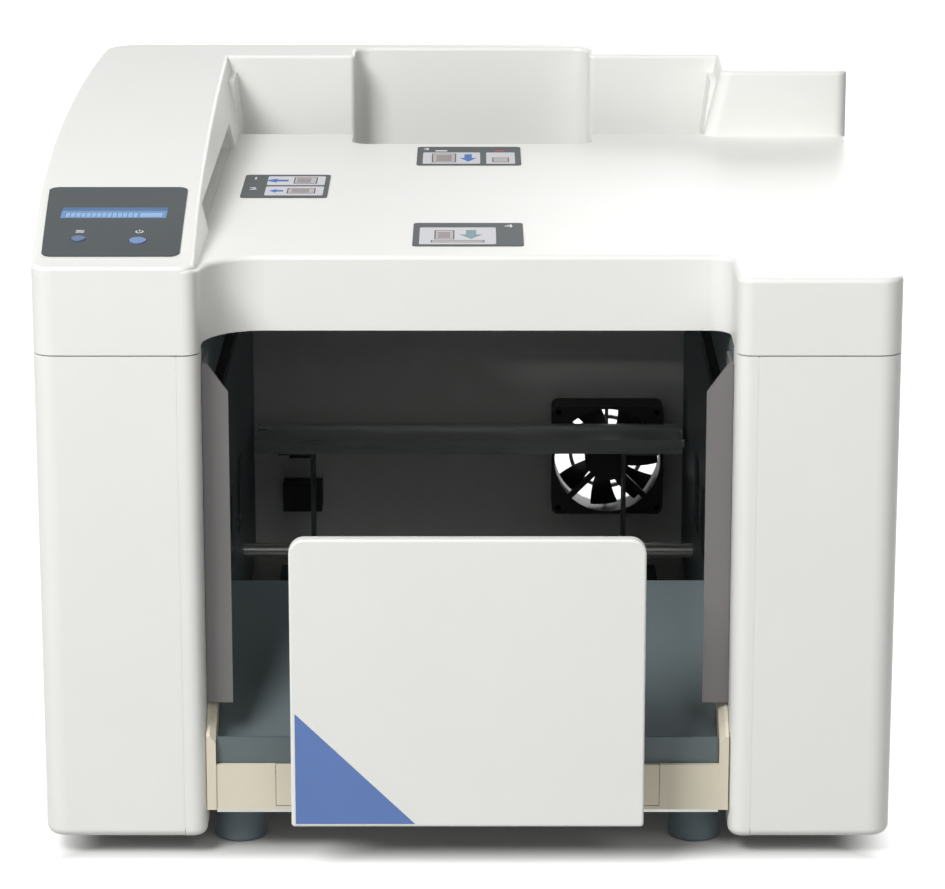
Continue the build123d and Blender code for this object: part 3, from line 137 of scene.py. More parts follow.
def moulded_plastic(name, dark, light, rough=0.42, grain_mm=1.0, depth_mm=0.012):
    """Moulded plastic: a slow drift of colour from the melt's flow over a fine eroded grain."""
    material, tree, shader = new_material(name, IOR=1.53)
    tint(tree, shader, grain(tree, 60, 1.0), dark, light)
    fine = grain(tree, grain_mm)
    tree.links.new(spread(tree, fine, rough - 0.05, rough + 0.05), shader.inputs["Roughness"])
    relief(tree, shader, fine, depth_mm)
    return material


IVORY_ABS = moulded_plastic("ivory ABS, spark eroded", "#EEEEEA", "#F1F1EE")
# The cream moulding is set darker than the ivory: partly its own cream, partly painted shade, the ivory
# as it looks in the bay's shade.
CREAM_ABS_PAINTED_SHADE = moulded_plastic("cream ABS, moulded, with painted shade", "#DCD4BF", "#E3DBC8", rough=0.5)
GREY_POLYCARBONATE = moulded_plastic("grey polycarbonate fin", "#6E6A6B", "#767273", rough=0.4)
BLUE_ABS = moulded_plastic("blue ABS, satin", "#5576B4", "#5C7CBA", rough=0.34, grain_mm=0.8)
MENU_BLUE = moulded_plastic("violet blue ABS button", "#4D6592", "#536C98", rough=0.4, grain_mm=0.8)
POWER_BLUE = moulded_plastic("light blue ABS button", "#5F80B1", "#6586B6", rough=0.4, grain_mm=0.8)
BLACK_NYLON = moulded_plastic("black nylon, glass filled", "#121315", "#1B1C1F", rough=0.55,
                              grain_mm=0.8)
print("moulded plastics:", [m.name for m in bpy.data.materials])

# %% [markdown]
# The frame plates, tie bars and jaws are steel sheet under a dark powder coat. The powder melts
# into small soft pebbles, the orange peel that catches the light between the smooth and the matt.

# %% Powder coat and plated steel


def powder_coat(name, dark, light):
    """Powder coat: orange peel about 2 mm across over a satin, slightly clear film."""
    material, tree, shader = new_material(name, IOR=1.5, Roughness=0.5)
    peel = grain(tree, 2.0, 1.0)
    tint(tree, shader, grain(tree, 45), dark, light)
    tree.links.new(spread(tree, peel, 0.42, 0.58), shader.inputs["Roughness"])
    relief(tree, shader, peel, 0.04)
    return material


def zinc_plate(name):
    """Zinc plated steel: a bluish bright metal whose passivation drifts from blue to straw."""
    material, tree, shader = new_material(name, Metallic=1.0, Roughness=0.35)
    tint(tree, shader, grain(tree, 18, 3.0), "#A9AEB4", "#BDBCB2")
    tree.links.new(spread(tree, grain(tree, 4), 0.28, 0.45), shader.inputs["Roughness"])
    return material


def brushed_metal(name, dark, light, along, rough=0.3):
    """Drawn or brushed metal: hair lines 0.4 mm apart, run out along one axis."""
    material, tree, shader = new_material(name, Metallic=1.0, Roughness=rough)
    stretch = tuple(0.02 if axis == along else 1.0 for axis in "XYZ")
    lines = grain(tree, 0.6, 3.0, stretch)
    tint(tree, shader, lines, dark, light)
    tree.links.new(spread(tree, lines, rough - 0.08, rough + 0.1), shader.inputs["Roughness"])
    relief(tree, shader, lines, 0.01)
    return material


DARK_COAT = powder_coat("charcoal powder coat", "#576265", "#616C6F")
ZINC = zinc_plate("zinc plated steel")
GROUND_STEEL = brushed_metal("ground steel rod", "#A3A6A9", "#B5B7B9", "Y", rough=0.18)
ANODISED = brushed_metal("anodised aluminium", "#A9ABAD", "#B9BBBC", "X")
print("metals:", DARK_COAT.name, ZINC.name, GROUND_STEEL.name, ANODISED.name)

# %% [markdown]
# Rubber scatters light softly: black on the jaws, where soot fills it, and slate grey on the feet.
# Sintered bronze is a dull brown metal full of oil filled pores. A circuit board's solder mask is a
# glossy green lacquer over a weave of glass.

# %% Rubber, bronze and solder mask


def moulded_rubber(name, dark, light):
    """Moulded rubber: a soft dull surface with a dusty sheen and patches where mould wax came off."""
    material, tree, shader = new_material(name, IOR=1.52, Sheen_Weight=0.15)
    tint(tree, shader, grain(tree, 12, 3.0), dark, light)
    tree.links.new(spread(tree, grain(tree, 1.2), 0.62, 0.8), shader.inputs["Roughness"])
    return material


def sintered_bronze():
    """Sintered bronze: a pressed metal powder, speckled at half a millimetre."""
    material, tree, shader = new_material("sintered bronze", Metallic=1.0)
    speck = grain(tree, 0.5, 1.0)
    tint(tree, shader, speck, "#8A6A3F", "#A98552")
    tree.links.new(spread(tree, speck, 0.4, 0.6), shader.inputs["Roughness"])
    return material


def solder_mask():
    """Green solder mask over a 0.5 mm glass weave."""
    material, tree, shader = new_material("green solder mask", IOR=1.5, Roughness=0.28)
    weave = {"Vector": place_on(tree), "Scale": 1 / (0.5 * MM)}
    checks = add_node(tree, "ShaderNodeTexChecker", weave).outputs["Fac"]
    tint(tree, shader, spread(tree, checks, 0.0, 0.35), "#0F4A2B", "#1A6A40")
    return material


RUBBER = moulded_rubber("black moulded rubber", "#161718", "#202122")
FOOT_RUBBER = moulded_rubber("slate grey moulded rubber", "#65737A", "#6D7B82")
BRONZE = sintered_bronze()
SOLDER_MASK = solder_mask()
print("others:", RUBBER.name, BRONZE.name, SOLDER_MASK.name)

# %% [markdown]
# The control fascia and the deck plates are polyester film, printed from behind with a dark grey
# and laid over their recess, so the ink looks flat and deep under a velvety lacquer.

# %% Printed film and the display


def printed_film(name, dark, light):
    """Printed polyester: flat ink under a velvet lacquer with a very fine tooth."""
    material, tree, shader = new_material(name, IOR=1.45, Specular_IOR_Level=0.1)
    tint(tree, shader, grain(tree, 40, 1.0), dark, light)
    tooth = grain(tree, 0.7)
    tree.links.new(spread(tree, tooth, 0.48, 0.58), shader.inputs["Roughness"])
    relief(tree, shader, tooth, 0.006)
    return material


FILM_GREY = printed_film("printed film, dark grey", "#4D5254", "#525759")
INK_WHITE = printed_film("white screen ink", "#E6E8EA", "#ECEEEF")
INK_PALE = printed_film("pale grey screen ink", "#D3D3D8", "#DADADE")
INK_BLUE = printed_film("blue screen ink", "#3F6DB5", "#4875BB")
INK_TEAL = printed_film("teal grey screen ink", "#7C979E", "#869FA6")
INK_DARK = printed_film("near black screen ink", "#3A3D42", "#41444A")
INK_RED = printed_film("red screen ink", "#B04A4F", "#B85257")
INK_TAN = printed_film("tan grey screen ink", "#BDB4B4", "#C6BEBD")
DISPLAY_PALE = printed_film("pale blue display cells", "#93B6DC", "#9DBFE2")
print("inks:", [m.name for m in bpy.data.materials if "ink" in m.name])

# %% [markdown]
# A liquid crystal display shows blue through its window, deep blue to the rear and paler in front,
# so the colour runs across the window's depth. It is a plain colour and gives no light of its own.

# %% Lit display
FRONT_Y, REAR_Y, FLOOR_GAP = -0.2635, 0.291, 0.012
DECK_Z = 0.352
WINDOW_Y = FRONT_Y + 0.101


def lit_display():
    """A display's clear front: deep blue to the rear, paler in front, faint cells 1.6 mm apart."""
    clear_front = {"IOR": 1.49, "Roughness": 0.16, "Specular_IOR_Level": 0.15}
    material, tree, shader = new_material("lit blue display", **clear_front)
    axes = add_node(tree, "ShaderNodeSeparateXYZ", {0: place_on(tree)})
    depth = {"Value": axes.outputs["Y"], "From Min": WINDOW_Y + 0.002, "From Max": WINDOW_Y + 0.0045}
    factor = add_node(tree, "ShaderNodeMapRange", depth, interpolation_type="SMOOTHSTEP").outputs[0]
    bands = {0: factor, 6: linear("#5F8DC0"), 7: linear("#2F5F93")}
    band = add_node(tree, "ShaderNodeMix", bands, data_type="RGBA")
    cells = {"Vector": place_on(tree), "Scale": 1 / (1.6 * MM)}
    checks = add_node(tree, "ShaderNodeTexChecker", cells).outputs["Fac"]
    rows = {0: spread(tree, checks, 0.0, 0.08), 6: band.outputs[2], 7: linear("#2E4A66")}
    mixed = add_node(tree, "ShaderNodeMix", rows, data_type="RGBA")
    tree.links.new(mixed.outputs[2], shader.inputs["Base Color"])
    return material


DISPLAY = lit_display()
print("display made")

# %% [markdown]
# Each carried node gets its material here. A few nodes differ from their record slot, such as the
# ground rods among the plated steel, so the exceptions are named after the slots.

# %% Dress the frame's nodes
SLOT_FINISH = {
    "ivory_moulding": IVORY_ABS,
    "beige_moulding": CREAM_ABS_PAINTED_SHADE,
    "fin_grey": GREY_POLYCARBONATE,
    "fascia_film": FILM_GREY,
    "blue_accent": BLUE_ABS,
    "window": DISPLAY,
    "dark_sheet": DARK_COAT,
    "plated_steel": ZINC,
    "heater_alloy": ANODISED,
    "bronze": BRONZE,
    "black_rubber": RUBBER,
    "black_plastic": BLACK_NYLON,
    "circuit_board": SOLDER_MASK,
}
NODE_FINISH = {
    "guide_rods": GROUND_STEEL,
    "menu_button": MENU_BLUE,
    "power_button": POWER_BLUE,
}


def dress(obj, material):
    """Give an object one material."""
    obj.data.materials.clear()
    obj.data.materials.append(material)


for part in frame["record"]["subparts"]:
    finish = NODE_FINISH.get(part["node"], SLOT_FINISH[part["material_slot"]])
    dress(frame["nodes"][part["node"]], finish)

# %% [markdown]
# Small flat prints and plain solids are made the same way: an outline in a plane, given a little
# thickness. One function turns outlines into closed prisms, so a print is a real skin of ink and
# never a loose face.

# %% Keep a piece, and make prisms


def keep(mesh, name, body, finish):
    """Turn a finished mesh into a piece of the machine: object at the origin, riding on a body."""
    mesh.name = name
    piece = bpy.data.objects.new(name, mesh)
    bpy.context.scene.collection.objects.link(piece)
    dress(piece, finish)
    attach(piece, body)
    return piece


def as_mesh(work, name):
    """Turn a finished bmesh into a mesh and free it."""
    mesh = bpy.data.meshes.new(name)
    work.to_mesh(mesh)
    work.free()
    return mesh


def prisms(outlines, plane, thick):
    """Closed prisms over 2-D outlines in mm; the plane's matrix puts them on the machine."""
    work = bmesh.new()
    for outline in outlines:
        low = [work.verts.new(plane @ Vector((x * MM, y * MM, 0))) for x, y in outline]
        high = [work.verts.new(plane @ Vector((x * MM, y * MM, thick * MM))) for x, y in outline]
        work.faces.new(low[::-1])
        work.faces.new(high)
        count = len(outline)
        for i in range(count):
            j = (i + 1) % count
            work.faces.new((low[i], low[j], high[j], high[i]))
    bmesh.ops.recalc_face_normals(work, faces=work.faces)
    return as_mesh(work, "prisms")


print("prisms ready")

# %% Outlines in a plane


def rectangle(left, right, low, high, radius=0.0, steps=4):
    """A rectangle's outline, with its corners rounded if a radius is given."""
    if not radius:
        return [(left, low), (right, low), (right, high), (left, high)]
    outline = []
    centres = ((right - radius, low + radius, -90), (right - radius, high - radius, 0),
               (left + radius, high - radius, 90), (left + radius, low + radius, 180))
    for x, y, start in centres:
        for step in range(steps + 1):
            angle = radians(start + 90 * step / steps)
            outline.append((x + radius * cos(angle), y + radius * sin(angle)))
    return outline


def arc_band(x, y, inner, outer, start, end, steps=18):
    """A band along a circle between two angles in degrees."""
    turns = [radians(start + (end - start) * step / steps) for step in range(steps + 1)]
    outside = [(x + outer * cos(a), y + outer * sin(a)) for a in turns]
    inside = [(x + inner * cos(a), y + inner * sin(a)) for a in turns[::-1]]
    return outside + inside


def arrow(x, y, length, width, angle):
    """A plain block arrow with its middle at a point, turned by an angle in degrees."""
    half, head, shaft = length / 2, width / 2, width / 4.5
    shape = [(-half, -shaft), (0, -shaft), (0, -head), (half, 0), (0, head), (0, shaft), (-half, shaft)]
    c, s = cos(radians(angle)), sin(radians(angle))
    return [(x + c * u - s * v, y + s * u + c * v) for u, v in shape]


print("outlines ready")

# %% [markdown]
# In the photograph the console's roof levels out in front of the fascia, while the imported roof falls
# on to the front edge. So the cover's mesh is copied, cut along the fascia's front edge and its brow
# lifted: by nothing at the cut and by half a centimetre in front. The wall stays as thick.

# %% The cover with its brow lifted
BROW_RUN, BROW_LIFT = 0.0295, 0.0055
BROW_RIGHT, BROW_BOTTOM = -0.15, DECK_Z - 0.006


def lift_brow(mesh):
    """Cut the mesh behind the brow and raise the console's front edge; returns the points moved."""
    work = bmesh.new()
    work.from_mesh(mesh)
    everything = work.verts[:] + work.edges[:] + work.faces[:]
    cut = (0, FRONT_Y + BROW_RUN, 0)
    bmesh.ops.bisect_plane(work, geom=everything, plane_co=cut, plane_no=(0, 1, 0))
    moved = 0
    for point in work.verts:
        setback = point.co.y - FRONT_Y
        if setback < BROW_RUN and point.co.x < BROW_RIGHT and point.co.z > BROW_BOTTOM:
            point.co.z += BROW_LIFT * min(1.0, 1 - setback / BROW_RUN)
            moved += 1
    work.to_mesh(mesh)
    work.free()
    return moved


cover_mesh = frame["nodes"]["top_cover"].data.copy()
print("brow points lifted:", lift_brow(cover_mesh))
cover_moulding = keep(cover_mesh, "top_cover_moulding", "cover", IVORY_ABS)
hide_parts("top_cover")

# %% [markdown]
# Each side casing meets its bay trim in a hairline joint. A moulder backs such a joint with a strip
# whose tongue stands in the gap, just under the surface, so that no light shows through.

# %% Strips behind the trim joints
JOINT_X, JOINT_LOW, JOINT_HIGH = 167.75, FLOOR_GAP + 0.0055, FLOOR_GAP + 0.2932
TONGUE, FLANGE = 0.14, 4.0
TEE = [(-TONGUE, 0.2), (TONGUE, 0.2), (TONGUE, 3.06), (FLANGE, 3.06), (FLANGE, 4.4), (-FLANGE, 4.4),
       (-FLANGE, 3.06), (-TONGUE, 3.06)]
JOINT_TALL = (JOINT_HIGH - JOINT_LOW) / MM
for side, word in ((-1, "left"), (1, "right")):
    strip = prisms([TEE], Matrix.Translation((side * JOINT_X * MM, FRONT_Y, JOINT_LOW)), JOINT_TALL)
    keep(strip, f"{word}_joint_strip", "base", IVORY_ABS)
print("joint strips: 2")

# %% [markdown]
# The three plates on the deck tell the user what to do in pictures. Each picture here is a plain
# diagram of rectangles, bars and arrows with a number, printed in a layer of ink a tenth of a
# millimetre thick on top of the plate.

# %% Ink, figures and lines
INK_THICK = 0.08
INK_LIFT = 0.02
LABEL_TOP = DECK_Z + 0.5 * MM
PLATE_PLANE = Matrix.Translation((0, FRONT_Y, LABEL_TOP - INK_LIFT * MM))
LAYER = Matrix.Translation((0, 0, (INK_THICK - INK_LIFT) * MM))


def print_on(plane, name, body, ink, outlines, layer=0):
    """Print outlines in one ink; a higher layer lies on the ink below it."""
    stack = plane
    for _ in range(layer):
        stack = LAYER @ stack
    return keep(prisms(outlines, stack, INK_THICK), name, body, ink)


def numeral(text, name, plane, x, y, size_mm, body, ink):
    """A plain figure as a thin print, centred on a point of the plane."""
    curve = bpy.data.curves.new(name, "FONT")
    curve.body, curve.size = text, size_mm * MM
    curve.align_x, curve.align_y = "CENTER", "CENTER"
    curve.extrude = INK_THICK * MM
    letter = bpy.data.objects.new(name, curve)
    bpy.context.scene.collection.objects.link(letter)
    ready = letter.evaluated_get(bpy.context.evaluated_depsgraph_get())
    mesh = bpy.data.meshes.new_from_object(ready)
    bpy.data.objects.remove(letter)
    mesh.transform(plane @ Matrix.Translation((x * MM, y * MM, INK_THICK * MM / 2)))
    return keep(mesh, name, body, ink)


def ruled(left, right, low, high, line=0.7):
    """The four thin lines round a rectangle."""
    return [rectangle(left, right, low, low + line), rectangle(left, right, high - line, high),
            rectangle(left, left + line, low + line, high - line),
            rectangle(right - line, right, low + line, high - line)]


def text_lines(left, right, low, count, gap=3.0, thick=0.8):
    """Bars that stand for lines of writing in a drawing."""
    return [rectangle(left, right, low + gap * k, low + gap * k + thick) for k in range(count)]


print("inks lie", INK_THICK, "mm thick")

# %% [markdown]
# The plate beside the gauge has two windows, each with a ruled block and an arrow that points into
# the slot. A 1 and a 2 at the side give their order.

# %% Plate beside the gauge
print_on(PLATE_PLANE, "plate_a_windows", "cover", INK_PALE,
         [rectangle(-129, -92, 276, 305, 1.5), rectangle(-129, -92, 242, 271, 1.5)])
print_on(PLATE_PLANE, "plate_a_pages", "cover", INK_TAN,
         [rectangle(-112, -97, 280, 301), rectangle(-115, -97, 248, 265)], 1)
print_on(PLATE_PLANE, "plate_a_lines", "cover", INK_DARK,
         ruled(-112, -97, 280, 301) + ruled(-115, -97, 248, 265) + text_lines(-110, -101, 284, 5)
         + text_lines(-112, -101, 251.5, 4), 2)
print_on(PLATE_PLANE, "plate_a_arrows", "cover", INK_BLUE,
         [arrow(-123, 290.5, 15, 13, 180), arrow(-122, 256.5, 9, 11, 180)], 1)
numeral("1", "plate_a_one", PLATE_PLANE, -137, 298, 11, "cover", INK_WHITE)
numeral("2", "plate_a_two", PLATE_PLANE, -137, 264, 11, "cover", INK_WHITE)
print("plate beside the gauge printed")

# %% [markdown]
# The plate before the feed well shows an upright block with an arrow down, and beside it a narrow
# one. A white bar and a red bar stand over them, as on a plate that explains two lamps.

# %% Plate before the feed well
print_on(PLATE_PLANE, "plate_b_windows", "cover", INK_PALE,
         [rectangle(-30, 8, 349, 389, 1.5), rectangle(12, 31, 349, 389, 1.5)])
print_on(PLATE_PLANE, "plate_b_pages", "cover", INK_TAN,
         [rectangle(-24, -8, 354, 384), rectangle(16, 27, 354, 370)], 1)
print_on(PLATE_PLANE, "plate_b_lines", "cover", INK_DARK,
         ruled(-24, -8, 354, 384) + text_lines(-21, -11, 359, 7) + ruled(16, 27, 354, 370), 2)
print_on(PLATE_PLANE, "plate_b_arrow", "cover", INK_BLUE, [arrow(0, 369, 26, 11, -90)], 1)
print_on(PLATE_PLANE, "plate_b_white_mark", "cover", INK_WHITE, [rectangle(-22, -14, 393, 397)])
print_on(PLATE_PLANE, "plate_b_red_mark", "cover", INK_RED, [rectangle(18, 24, 393, 397)])
numeral("3", "plate_b_three", PLATE_PLANE, -28, 401, 10, "cover", INK_WHITE)
print("plate before the feed well printed")

# %% [markdown]
# The plate over the bay shows an upright block, an arrow and the flat bar of the tray that it ends on.

# %% Plate over the bay
print_on(PLATE_PLANE, "plate_c_window", "cover", INK_PALE, [rectangle(-29, 17, 93, 142, 1.5)])
print_on(PLATE_PLANE, "plate_c_tray", "cover", INK_TAN,
         [rectangle(-22, 10, 98, 104), rectangle(-20, -8, 107, 133)], 1)
print_on(PLATE_PLANE, "plate_c_lines", "cover", INK_DARK,
         ruled(-22, 10, 98, 104) + ruled(-20, -8, 107, 133) + text_lines(-18, -10.5, 111, 6), 2)
print_on(PLATE_PLANE, "plate_c_arrow", "cover", INK_TEAL, [arrow(2, 121, 26, 14, -90)], 1)
numeral("4", "plate_c_four", PLATE_PLANE, 25, 146, 12, "cover", INK_WHITE)

# %% [markdown]
# The power symbol beside its button is the usual open ring with a bar. The roof slopes there, so the
# print's plane is laid on the fascia by measuring the fascia's own surface under three points.

# %% Symbols and display cells on the fascia


def plane_on(node, x, y, step=0.004):
    """A plane on top of a node at a point, found by rays from above; its Z is the surface normal."""
    body = frame["nodes"][node]
    mesh = bmesh.new()
    mesh.from_mesh(body.data)
    tree = BVHTree.FromBMesh(mesh)
    mesh.free()
    hits = [tree.ray_cast(Vector((x + dx, y + dy, 1)), Vector((0, 0, -1)))[0]
            for dx, dy in ((0, 0), (step, 0), (0, step))]
    across, along = (hits[1] - hits[0]).normalized(), (hits[2] - hits[0]).normalized()
    normal = across.cross(along).normalized()
    turn = Matrix((across, normal.cross(across), normal)).transposed().to_4x4()
    return Matrix.Translation(hits[0] - normal * INK_LIFT * MM) @ turn


POWER_PLANE = plane_on("control_fascia", -0.193, FRONT_Y + 0.068)
print_on(POWER_PLANE, "power_symbol", "cover", INK_WHITE,
         [arc_band(0, 0, 1.7, 2.4, 130, 410), rectangle(-0.35, 0.35, 0.6, 3.2)])
MENU_PLANE = plane_on("control_fascia", -0.228, FRONT_Y + 0.068)
print_on(MENU_PLANE, "menu_symbol", "cover", INK_WHITE,
         [rectangle(-2.4, 2.4, z, z + 0.7) for z in (-1.8, 0, 1.8)])
WINDOW_PLANE = plane_on("display_window", -0.2105, WINDOW_Y)
CELL_COUNT, CELL_PITCH, CELL_WIDE, FIRST_CELL = 14, 3.1, 2.4, -28.6
CELL_LOW, CELL_HIGH = -7.6, -0.6
cell_starts = [FIRST_CELL + CELL_PITCH * k for k in range(CELL_COUNT)]
cells = [rectangle(left, left + CELL_WIDE, CELL_LOW, CELL_HIGH) for left in cell_starts]
long_cell = rectangle(15.6, 28.8, CELL_LOW, CELL_HIGH)
print_on(WINDOW_PLANE, "display_cells", "cover", DISPLAY_PALE, cells + [long_cell])
print("fascia symbols at", [round(v, 4) for v in POWER_PLANE.translation])

# %% [markdown]
# Screws, louvre fins and ribs repeat, so each is made once and placed by Geometry Nodes. A screw
# head is a low dome with a cross sunk into it. The tree takes a cloud of points, each with the
# direction it faces, and sets a head on every one.

# %% Cross-recessed screw head


def screw_head(dome_steps=3, sides=16):
    """A pan head of radius 1 and height 0.5 standing on Z, with a cross sunk into its top."""
    work = bmesh.new()
    profile = [(1.0, 0.0), (1.0, 0.2)]
    for k in range(1, dome_steps + 1):
        rise = radians(90 * k / (dome_steps + 1))
        profile.append((cos(rise) * 0.35 + 0.65, 0.2 + 0.3 * sin(rise)))
    turns = [2 * pi * i / sides for i in range(sides)]
    rings = [[work.verts.new((radius * cos(a), radius * sin(a), height)) for a in turns]
             for radius, height in profile]
    for low, high in zip(rings, rings[1:]):
        for i in range(sides):
            j = (i + 1) % sides
            work.faces.new((low[i], low[j], high[j], high[i]))
    work.faces.new(rings[0][::-1])
    arm, half, top, sink = 0.42, 0.11, 0.5, 0.28
    cross = [(half, half), (half, arm), (-half, arm), (-half, half), (-arm, half), (-arm, -half),
             (-half, -half), (-half, -arm), (half, -arm), (half, -half), (arm, -half), (arm, half)]
    rim = [work.verts.new((x, y, top)) for x, y in cross]
    floor = [work.verts.new((x * 0.7, y * 0.7, top - sink)) for x, y in cross]
    points = len(cross)
    for i in range(points):
        j = (i + 1) % points
        work.faces.new((rim[j], rim[i], floor[i], floor[j]))
    work.faces.new(floor)
    edge_loop = [work.edges.get((rings[-1][i], rings[-1][(i + 1) % sides])) for i in range(sides)]
    edge_cross = [work.edges.get((rim[i], rim[(i + 1) % points])) for i in range(points)]
    bmesh.ops.triangle_fill(work, edges=edge_loop + edge_cross, use_beauty=True)
    bmesh.ops.recalc_face_normals(work, faces=work.faces)
    return bpy.data.objects.new("screw head", as_mesh(work, "screw head"))


SCREW = screw_head()
print("screw head:", len(SCREW.data.polygons), "faces")

# %% [markdown]
# Every tree here opens and ends alike: named inputs in front, then its instances are made real and
# given their finish. A tree runs on a mesh that holds its points, and the plain mesh is taken out.

# %% How a geometry tree opens, ends and runs


def named_inputs(tree, inputs):
    """Give a geometry tree its geometry socket and its named inputs; returns name to identifier."""
    tree.interface.new_socket("Geometry", in_out="INPUT", socket_type="NodeSocketGeometry")
    found = {}
    for name, kind in inputs.items():
        found[name] = tree.interface.new_socket(name, in_out="INPUT", socket_type=kind).identifier
    tree.interface.new_socket("Geometry", in_out="OUTPUT", socket_type="NodeSocketGeometry")
    return found


def close_tree(tree, entry, geometry):
    """End a tree as every one here ends: realise the instances, then set the finish."""
    real = add_node(tree, "GeometryNodeRealizeInstances", {0: geometry})
    feeds = {"Geometry": real.outputs[0], "Material": entry.outputs["Finish"]}
    finish = add_node(tree, "GeometryNodeSetMaterial", feeds)
    add_node(tree, "NodeGroupOutput", {0: finish.outputs[0]})


def grow(name, source, tree, identifiers, values):
    """Run a tree on a mesh and return the plain mesh that comes out."""
    holder = bpy.data.objects.new(name, source)
    bpy.context.scene.collection.objects.link(holder)
    modifier = holder.modifiers.new("grow", "NODES")
    modifier.node_group = tree
    for key, value in values.items():
        modifier[identifiers[key]] = value
    ready = holder.evaluated_get(bpy.context.evaluated_depsgraph_get())
    mesh = bpy.data.meshes.new_from_object(ready)
    holder.modifiers.remove(modifier)
    bpy.data.objects.remove(holder)
    return mesh


print("tree helpers ready")

# %% [markdown]
# The planting tree reads where each point faces from an attribute of the cloud, so one tree serves
# heads that look back, down or anywhere else.

# %% The tree that plants a piece on points


def planting_tree():
    """Set a piece on every point, scaled to size and turned so that its Z follows the point."""
    tree = bpy.data.node_groups.new("plant on points", "GeometryNodeTree")
    inputs = {"Piece": "NodeSocketObject", "Size": "NodeSocketFloat", "Finish": "NodeSocketMaterial"}
    identifiers = named_inputs(tree, inputs)
    entry = add_node(tree, "NodeGroupInput")
    piece = add_node(tree, "GeometryNodeObjectInfo", {"Object": entry.outputs["Piece"]})
    named = {"Name": "facing"}
    facing = add_node(tree, "GeometryNodeInputNamedAttribute", named, data_type="FLOAT_VECTOR")
    aim = {"Vector": facing.outputs["Attribute"]}
    turn = add_node(tree, "FunctionNodeAlignRotationToVector", aim, axis="Z")
    feeds = {
        "Points": entry.outputs["Geometry"],
        "Instance": piece.outputs["Geometry"],
        "Rotation": turn.outputs[0],
        "Scale": entry.outputs["Size"],
    }
    planted = add_node(tree, "GeometryNodeInstanceOnPoints", feeds)
    close_tree(tree, entry, planted.outputs[0])
    return tree, identifiers


PLANTING = planting_tree()


def plant(name, spots, size_mm, body, finish, piece=None):
    """Plant a piece on spots, each (x, y, z, facing) in metres."""
    cloud = bpy.data.meshes.new(name)
    cloud.from_pydata([spot[:3] for spot in spots], [], [])
    facing = cloud.attributes.new("facing", "FLOAT_VECTOR", "POINT")
    facing.data.foreach_set("vector", [c for spot in spots for c in spot[3]])
    values = {"Piece": piece or SCREW, "Size": size_mm * MM, "Finish": finish}
    return keep(grow(name, cloud, *PLANTING, values), name, body, finish)


print("planting tree:", PLANTING[0].name)

# %% [markdown]
# Pan-head screws hold the rear panel, the hinge leaves and the feet. The rear ones stand where the
# frame's plain discs are, so they take their place.

# %% Screws
BACK = (0, 1, 0)
DOWN = (0, 0, -1)
HINGE_X = 0.17
SEAM_Z = 0.3064
SEAT_Y = REAR_Y - 0.02 * MM  # heads are let in by this little, so that they touch the panel
LEAF_RISE, LEAF_PITCH = 0.015, 0.017
panel_heads = [(x * MM, SEAT_Y, FLOOR_GAP + h * MM, BACK)
               for x, h in ((-200, 22), (-70, 22), (70, 22), (200, 22), (-70, 268), (70, 268))]
panel = plant("rear_panel_screws", panel_heads, 3.2, "base", ZINC)
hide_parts("rear_screws")
leaf_across = [side * HINGE_X + dx for side in (-1, 1) for dx in (-LEAF_PITCH, 0.0, LEAF_PITCH)]
for body, rise in (("base", -LEAF_RISE), ("cover", LEAF_RISE)):
    heads = [(x, SEAT_Y, SEAM_Z + rise, BACK) for x in leaf_across]
    plant(f"hinge_screws_{body}", heads, 2.6, body, ZINC)
fan_low, fan_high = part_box("fan_frame")
fan_mid = (fan_low + fan_high) / 2
FAN_HOLE = 0.0355
corners = [(fan_mid.x + sx * FAN_HOLE, SEAT_Y, fan_mid.z + sz * FAN_HOLE, BACK)
           for sx in (-1, 1) for sz in (-1, 1)]
plant("fan_screws", corners, 2.8, "base", ZINC)
print("screws on the rear:", len(panel_heads) + 2 * len(leaf_across) + len(corners))

# %% [markdown]
# A louvre lets air out and keeps fingers away from the inside, so a sloping fin stands behind every
# slot. The same tree makes any straight row of bars: the fins, the ribs that stiffen the cover from
# below and the pins of a connector.

# %% The tree that makes a row of bars


def row_tree():
    """A row of equal bars along one direction, each turned about X."""
    tree = bpy.data.node_groups.new("row of bars", "GeometryNodeTree")
    inputs = {
        "Count": "NodeSocketInt", "Start": "NodeSocketVector", "Step": "NodeSocketVector",
        "Bar": "NodeSocketVector", "Turn": "NodeSocketVector", "Finish": "NodeSocketMaterial",
    }
    identifiers = named_inputs(tree, inputs)
    entry = add_node(tree, "NodeGroupInput")
    feeds = {
        "Count": entry.outputs["Count"],
        "Start Location": entry.outputs["Start"],
        "Offset": entry.outputs["Step"],
    }
    line = add_node(tree, "GeometryNodeMeshLine", feeds)
    shape = add_node(tree, "GeometryNodeMeshCube", {"Size": entry.outputs["Bar"]})
    placed = {"Points": line.outputs[0], "Instance": shape.outputs[0], "Rotation": entry.outputs["Turn"]}
    bars = add_node(tree, "GeometryNodeInstanceOnPoints", placed)
    close_tree(tree, entry, bars.outputs[0])
    return tree, identifiers


ROW = row_tree()


def row(name, count, start, step, bar, body, finish, turn=(0, 0, 0)):
    """One row of bars, kept as a piece; sizes in metres and turns in radians."""
    values = {"Count": count, "Start": start, "Step": step, "Bar": bar, "Turn": turn, "Finish": finish}
    return keep(grow(name, bpy.data.meshes.new(name), *ROW, values), name, body, finish)


print("row tree:", ROW[0].name)

# %% [markdown]
# The fins slope down and out, so that rain or a dropped clip can't fall in. The ribs cross under the
# deck, where the moulding is flattest and would sag.

